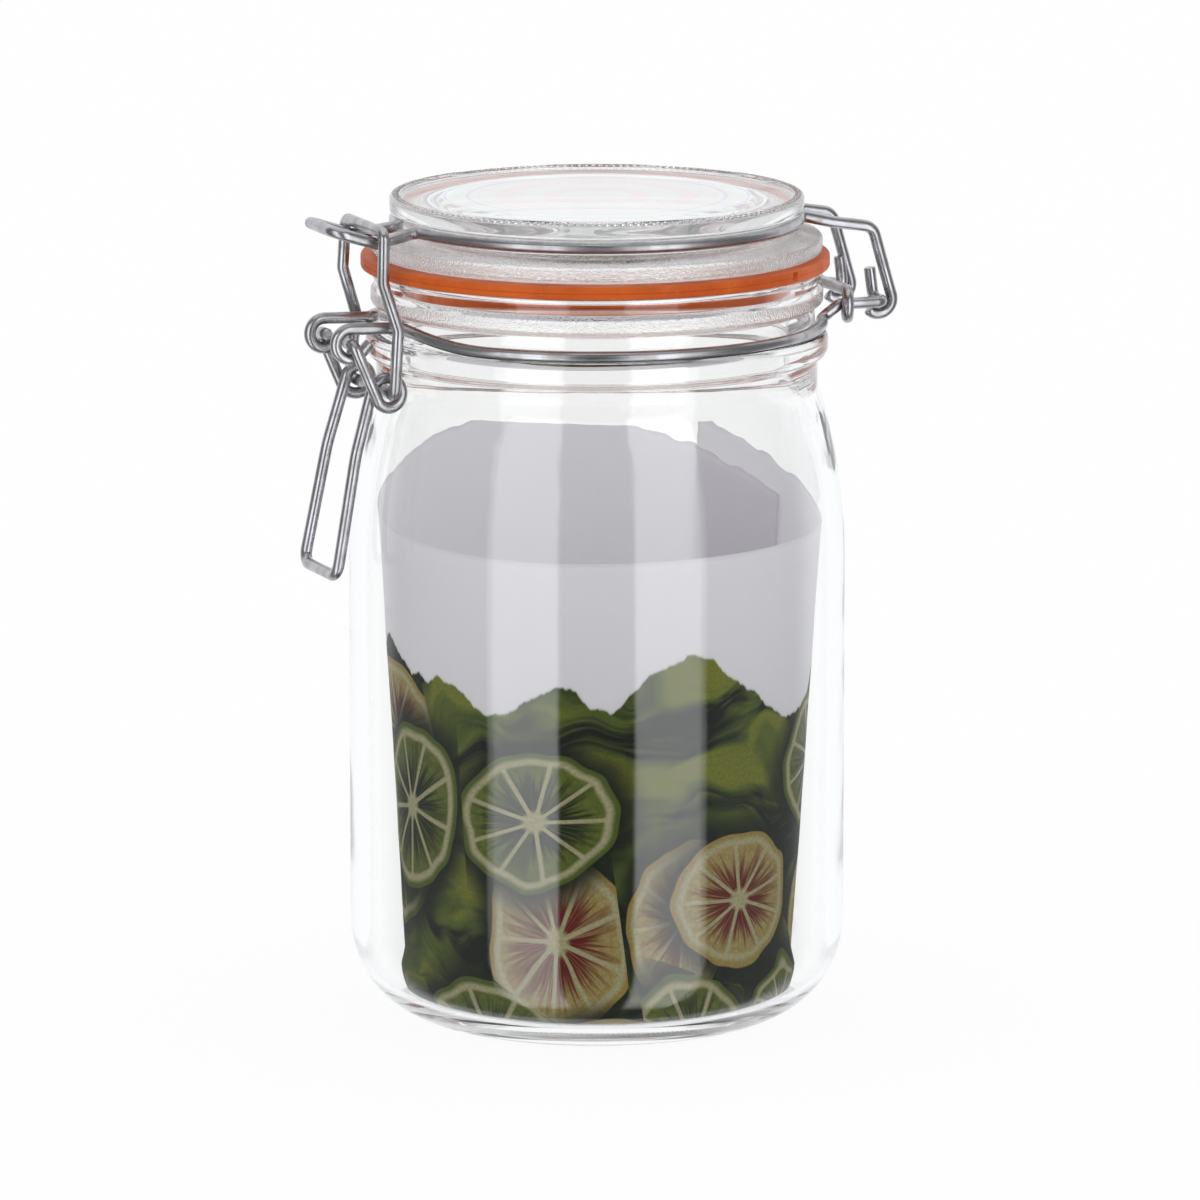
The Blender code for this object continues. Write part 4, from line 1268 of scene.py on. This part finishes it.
floor_shape = bmesh.new()
bmesh.ops.create_grid(floor_shape, x_segments=1, y_segments=1, size=FLOOR_SIZE / 2)
floor_mesh = bpy.data.meshes.new("studio_floor")
floor_shape.to_mesh(floor_mesh)
floor_shape.free()
floor_mesh.materials.append(floor_finish())
floor = bpy.data.objects.new("studio_floor", floor_mesh)
bpy.context.collection.objects.link(floor)
print(f"a floor {FLOOR_SIZE:.0f} m wide made")

# %% [markdown]
# What metal and the glass's skin mirror is a room: the white backdrop behind the jar,
# a soft box on either side of the camera, light from the ceiling, and dark between them.
# That is where the streaks on the wires and the two pale columns on the jar come from.

# %% The world
ROOM_DARK, ROOM_SIDE, SIDE_EDGE = 0.10, 0.22, (radians(50), radians(60))
SOFT_BOX = 2.1
BOX_BEARINGS, BOX_BEARING_SOFT = (radians(18), radians(52)), radians(1.5)
BOX_RISES, BOX_RISE_SOFT = (-0.86, 0.62), 0.06
BACKDROP_EDGE = (radians(100), radians(125))
CEILING_RISES = (0.80, 0.90)
ROOM_TINT = (0.97, 0.985, 1, 1)


def room(tree):
    """Brightness of the mirrored room in a direction."""
    way = wired(tree, "ShaderNodeTexCoord").outputs["Generated"]
    ahead = vectors(tree, "DOT_PRODUCT", way, to_viewer, result="Value")
    aside = vectors(tree, "DOT_PRODUCT", way, right, result="Value")
    rise = wired(tree, "ShaderNodeSeparateXYZ", {0: way}).outputs[2]
    bearing = sums(tree, "ABSOLUTE", sums(tree, "ARCTAN2", aside, ahead))
    box = sums(
        tree, "MULTIPLY", zone(tree, bearing, *BOX_BEARINGS, BOX_BEARING_SOFT),
        zone(tree, rise, *BOX_RISES, BOX_RISE_SOFT),
    )
    light = sums(
        tree, "MAXIMUM", between(tree, bearing, *BACKDROP_EDGE),
        between(tree, rise, *CEILING_RISES),
    )
    light = sums(tree, "MAXIMUM", light, sums(tree, "MULTIPLY", box, SOFT_BOX))
    gloom = between(tree, bearing, *SIDE_EDGE, ROOM_DARK, ROOM_SIDE)
    return sums(tree, "MAXIMUM", light, gloom)


world = bpy.data.worlds.new("white_studio")
bpy.context.scene.world = world
world.use_nodes = True
tree = world.node_tree
tree.nodes.clear()
path = wired(tree, "ShaderNodeLightPath").outputs
mirrored_ray = sums(tree, "MINIMUM", path["Glossy Depth"], 1.0)
plain = wired(tree, "ShaderNodeBackground", {"Color": WHITE, "Strength": 1.0}).outputs[0]
mirror = wired(tree, "ShaderNodeBackground", {"Color": ROOM_TINT, "Strength": room(tree)}).outputs[0]
sky = wired(tree, "ShaderNodeMixShader", {0: mirrored_ray, 1: plain, 2: mirror}).outputs[0]
tree.links.new(sky, wired(tree, "ShaderNodeOutputWorld").inputs["Surface"])
print(f"the world made, with {len(tree.nodes)} nodes")

# %% [markdown]
# A long lens from far off keeps the jar's sides upright and the ellipses of its rings flat,
# as in the photograph. The camera's height, its aim and its lens were changed
# until the ellipses and the outline lay where the photograph has them.

# %% The camera
CAMERA_DISTANCE = 2.200
CAMERA_HEIGHT = 0.5066
AIM_HEIGHT = 0.0929
AIM_RIGHT = 0.0007
LENS = 302.4
SENSOR = 36
NEAREST, FARTHEST = 0.1, 50

aim = right * AIM_RIGHT + Vector((0, 0, AIM_HEIGHT))
camera_data = bpy.data.cameras.new("studio_camera")
camera_data.lens = LENS
camera_data.sensor_width = SENSOR
camera_data.clip_start, camera_data.clip_end = NEAREST, FARTHEST
camera = bpy.data.objects.new("studio_camera", camera_data)
camera.location = right * AIM_RIGHT + to_viewer * CAMERA_DISTANCE + Vector((0, 0, CAMERA_HEIGHT))
camera.rotation_euler = (aim - camera.location).to_track_quat("-Z", "Y").to_euler()
bpy.context.collection.objects.link(camera)
bpy.context.scene.camera = camera
bpy.context.scene.view_settings.view_transform = "Standard"
print(f"the camera stands {(aim - camera.location).length:.2f} m from the jar")

# %% [markdown]
# Light runs round in thick glass many times before it leaves. Each turn is one bounce,
# and where the bounces run out the glass goes black, so they get more than the default.

# %% How often light may turn
BOUNCES, MIRROR_BOUNCES = 32, 16
cycles = bpy.context.scene.cycles
cycles.max_bounces, cycles.transmission_bounces = BOUNCES, BOUNCES
cycles.glossy_bounces, cycles.transparent_max_bounces = MIRROR_BOUNCES, BOUNCES
print(f"light may turn {BOUNCES} times")
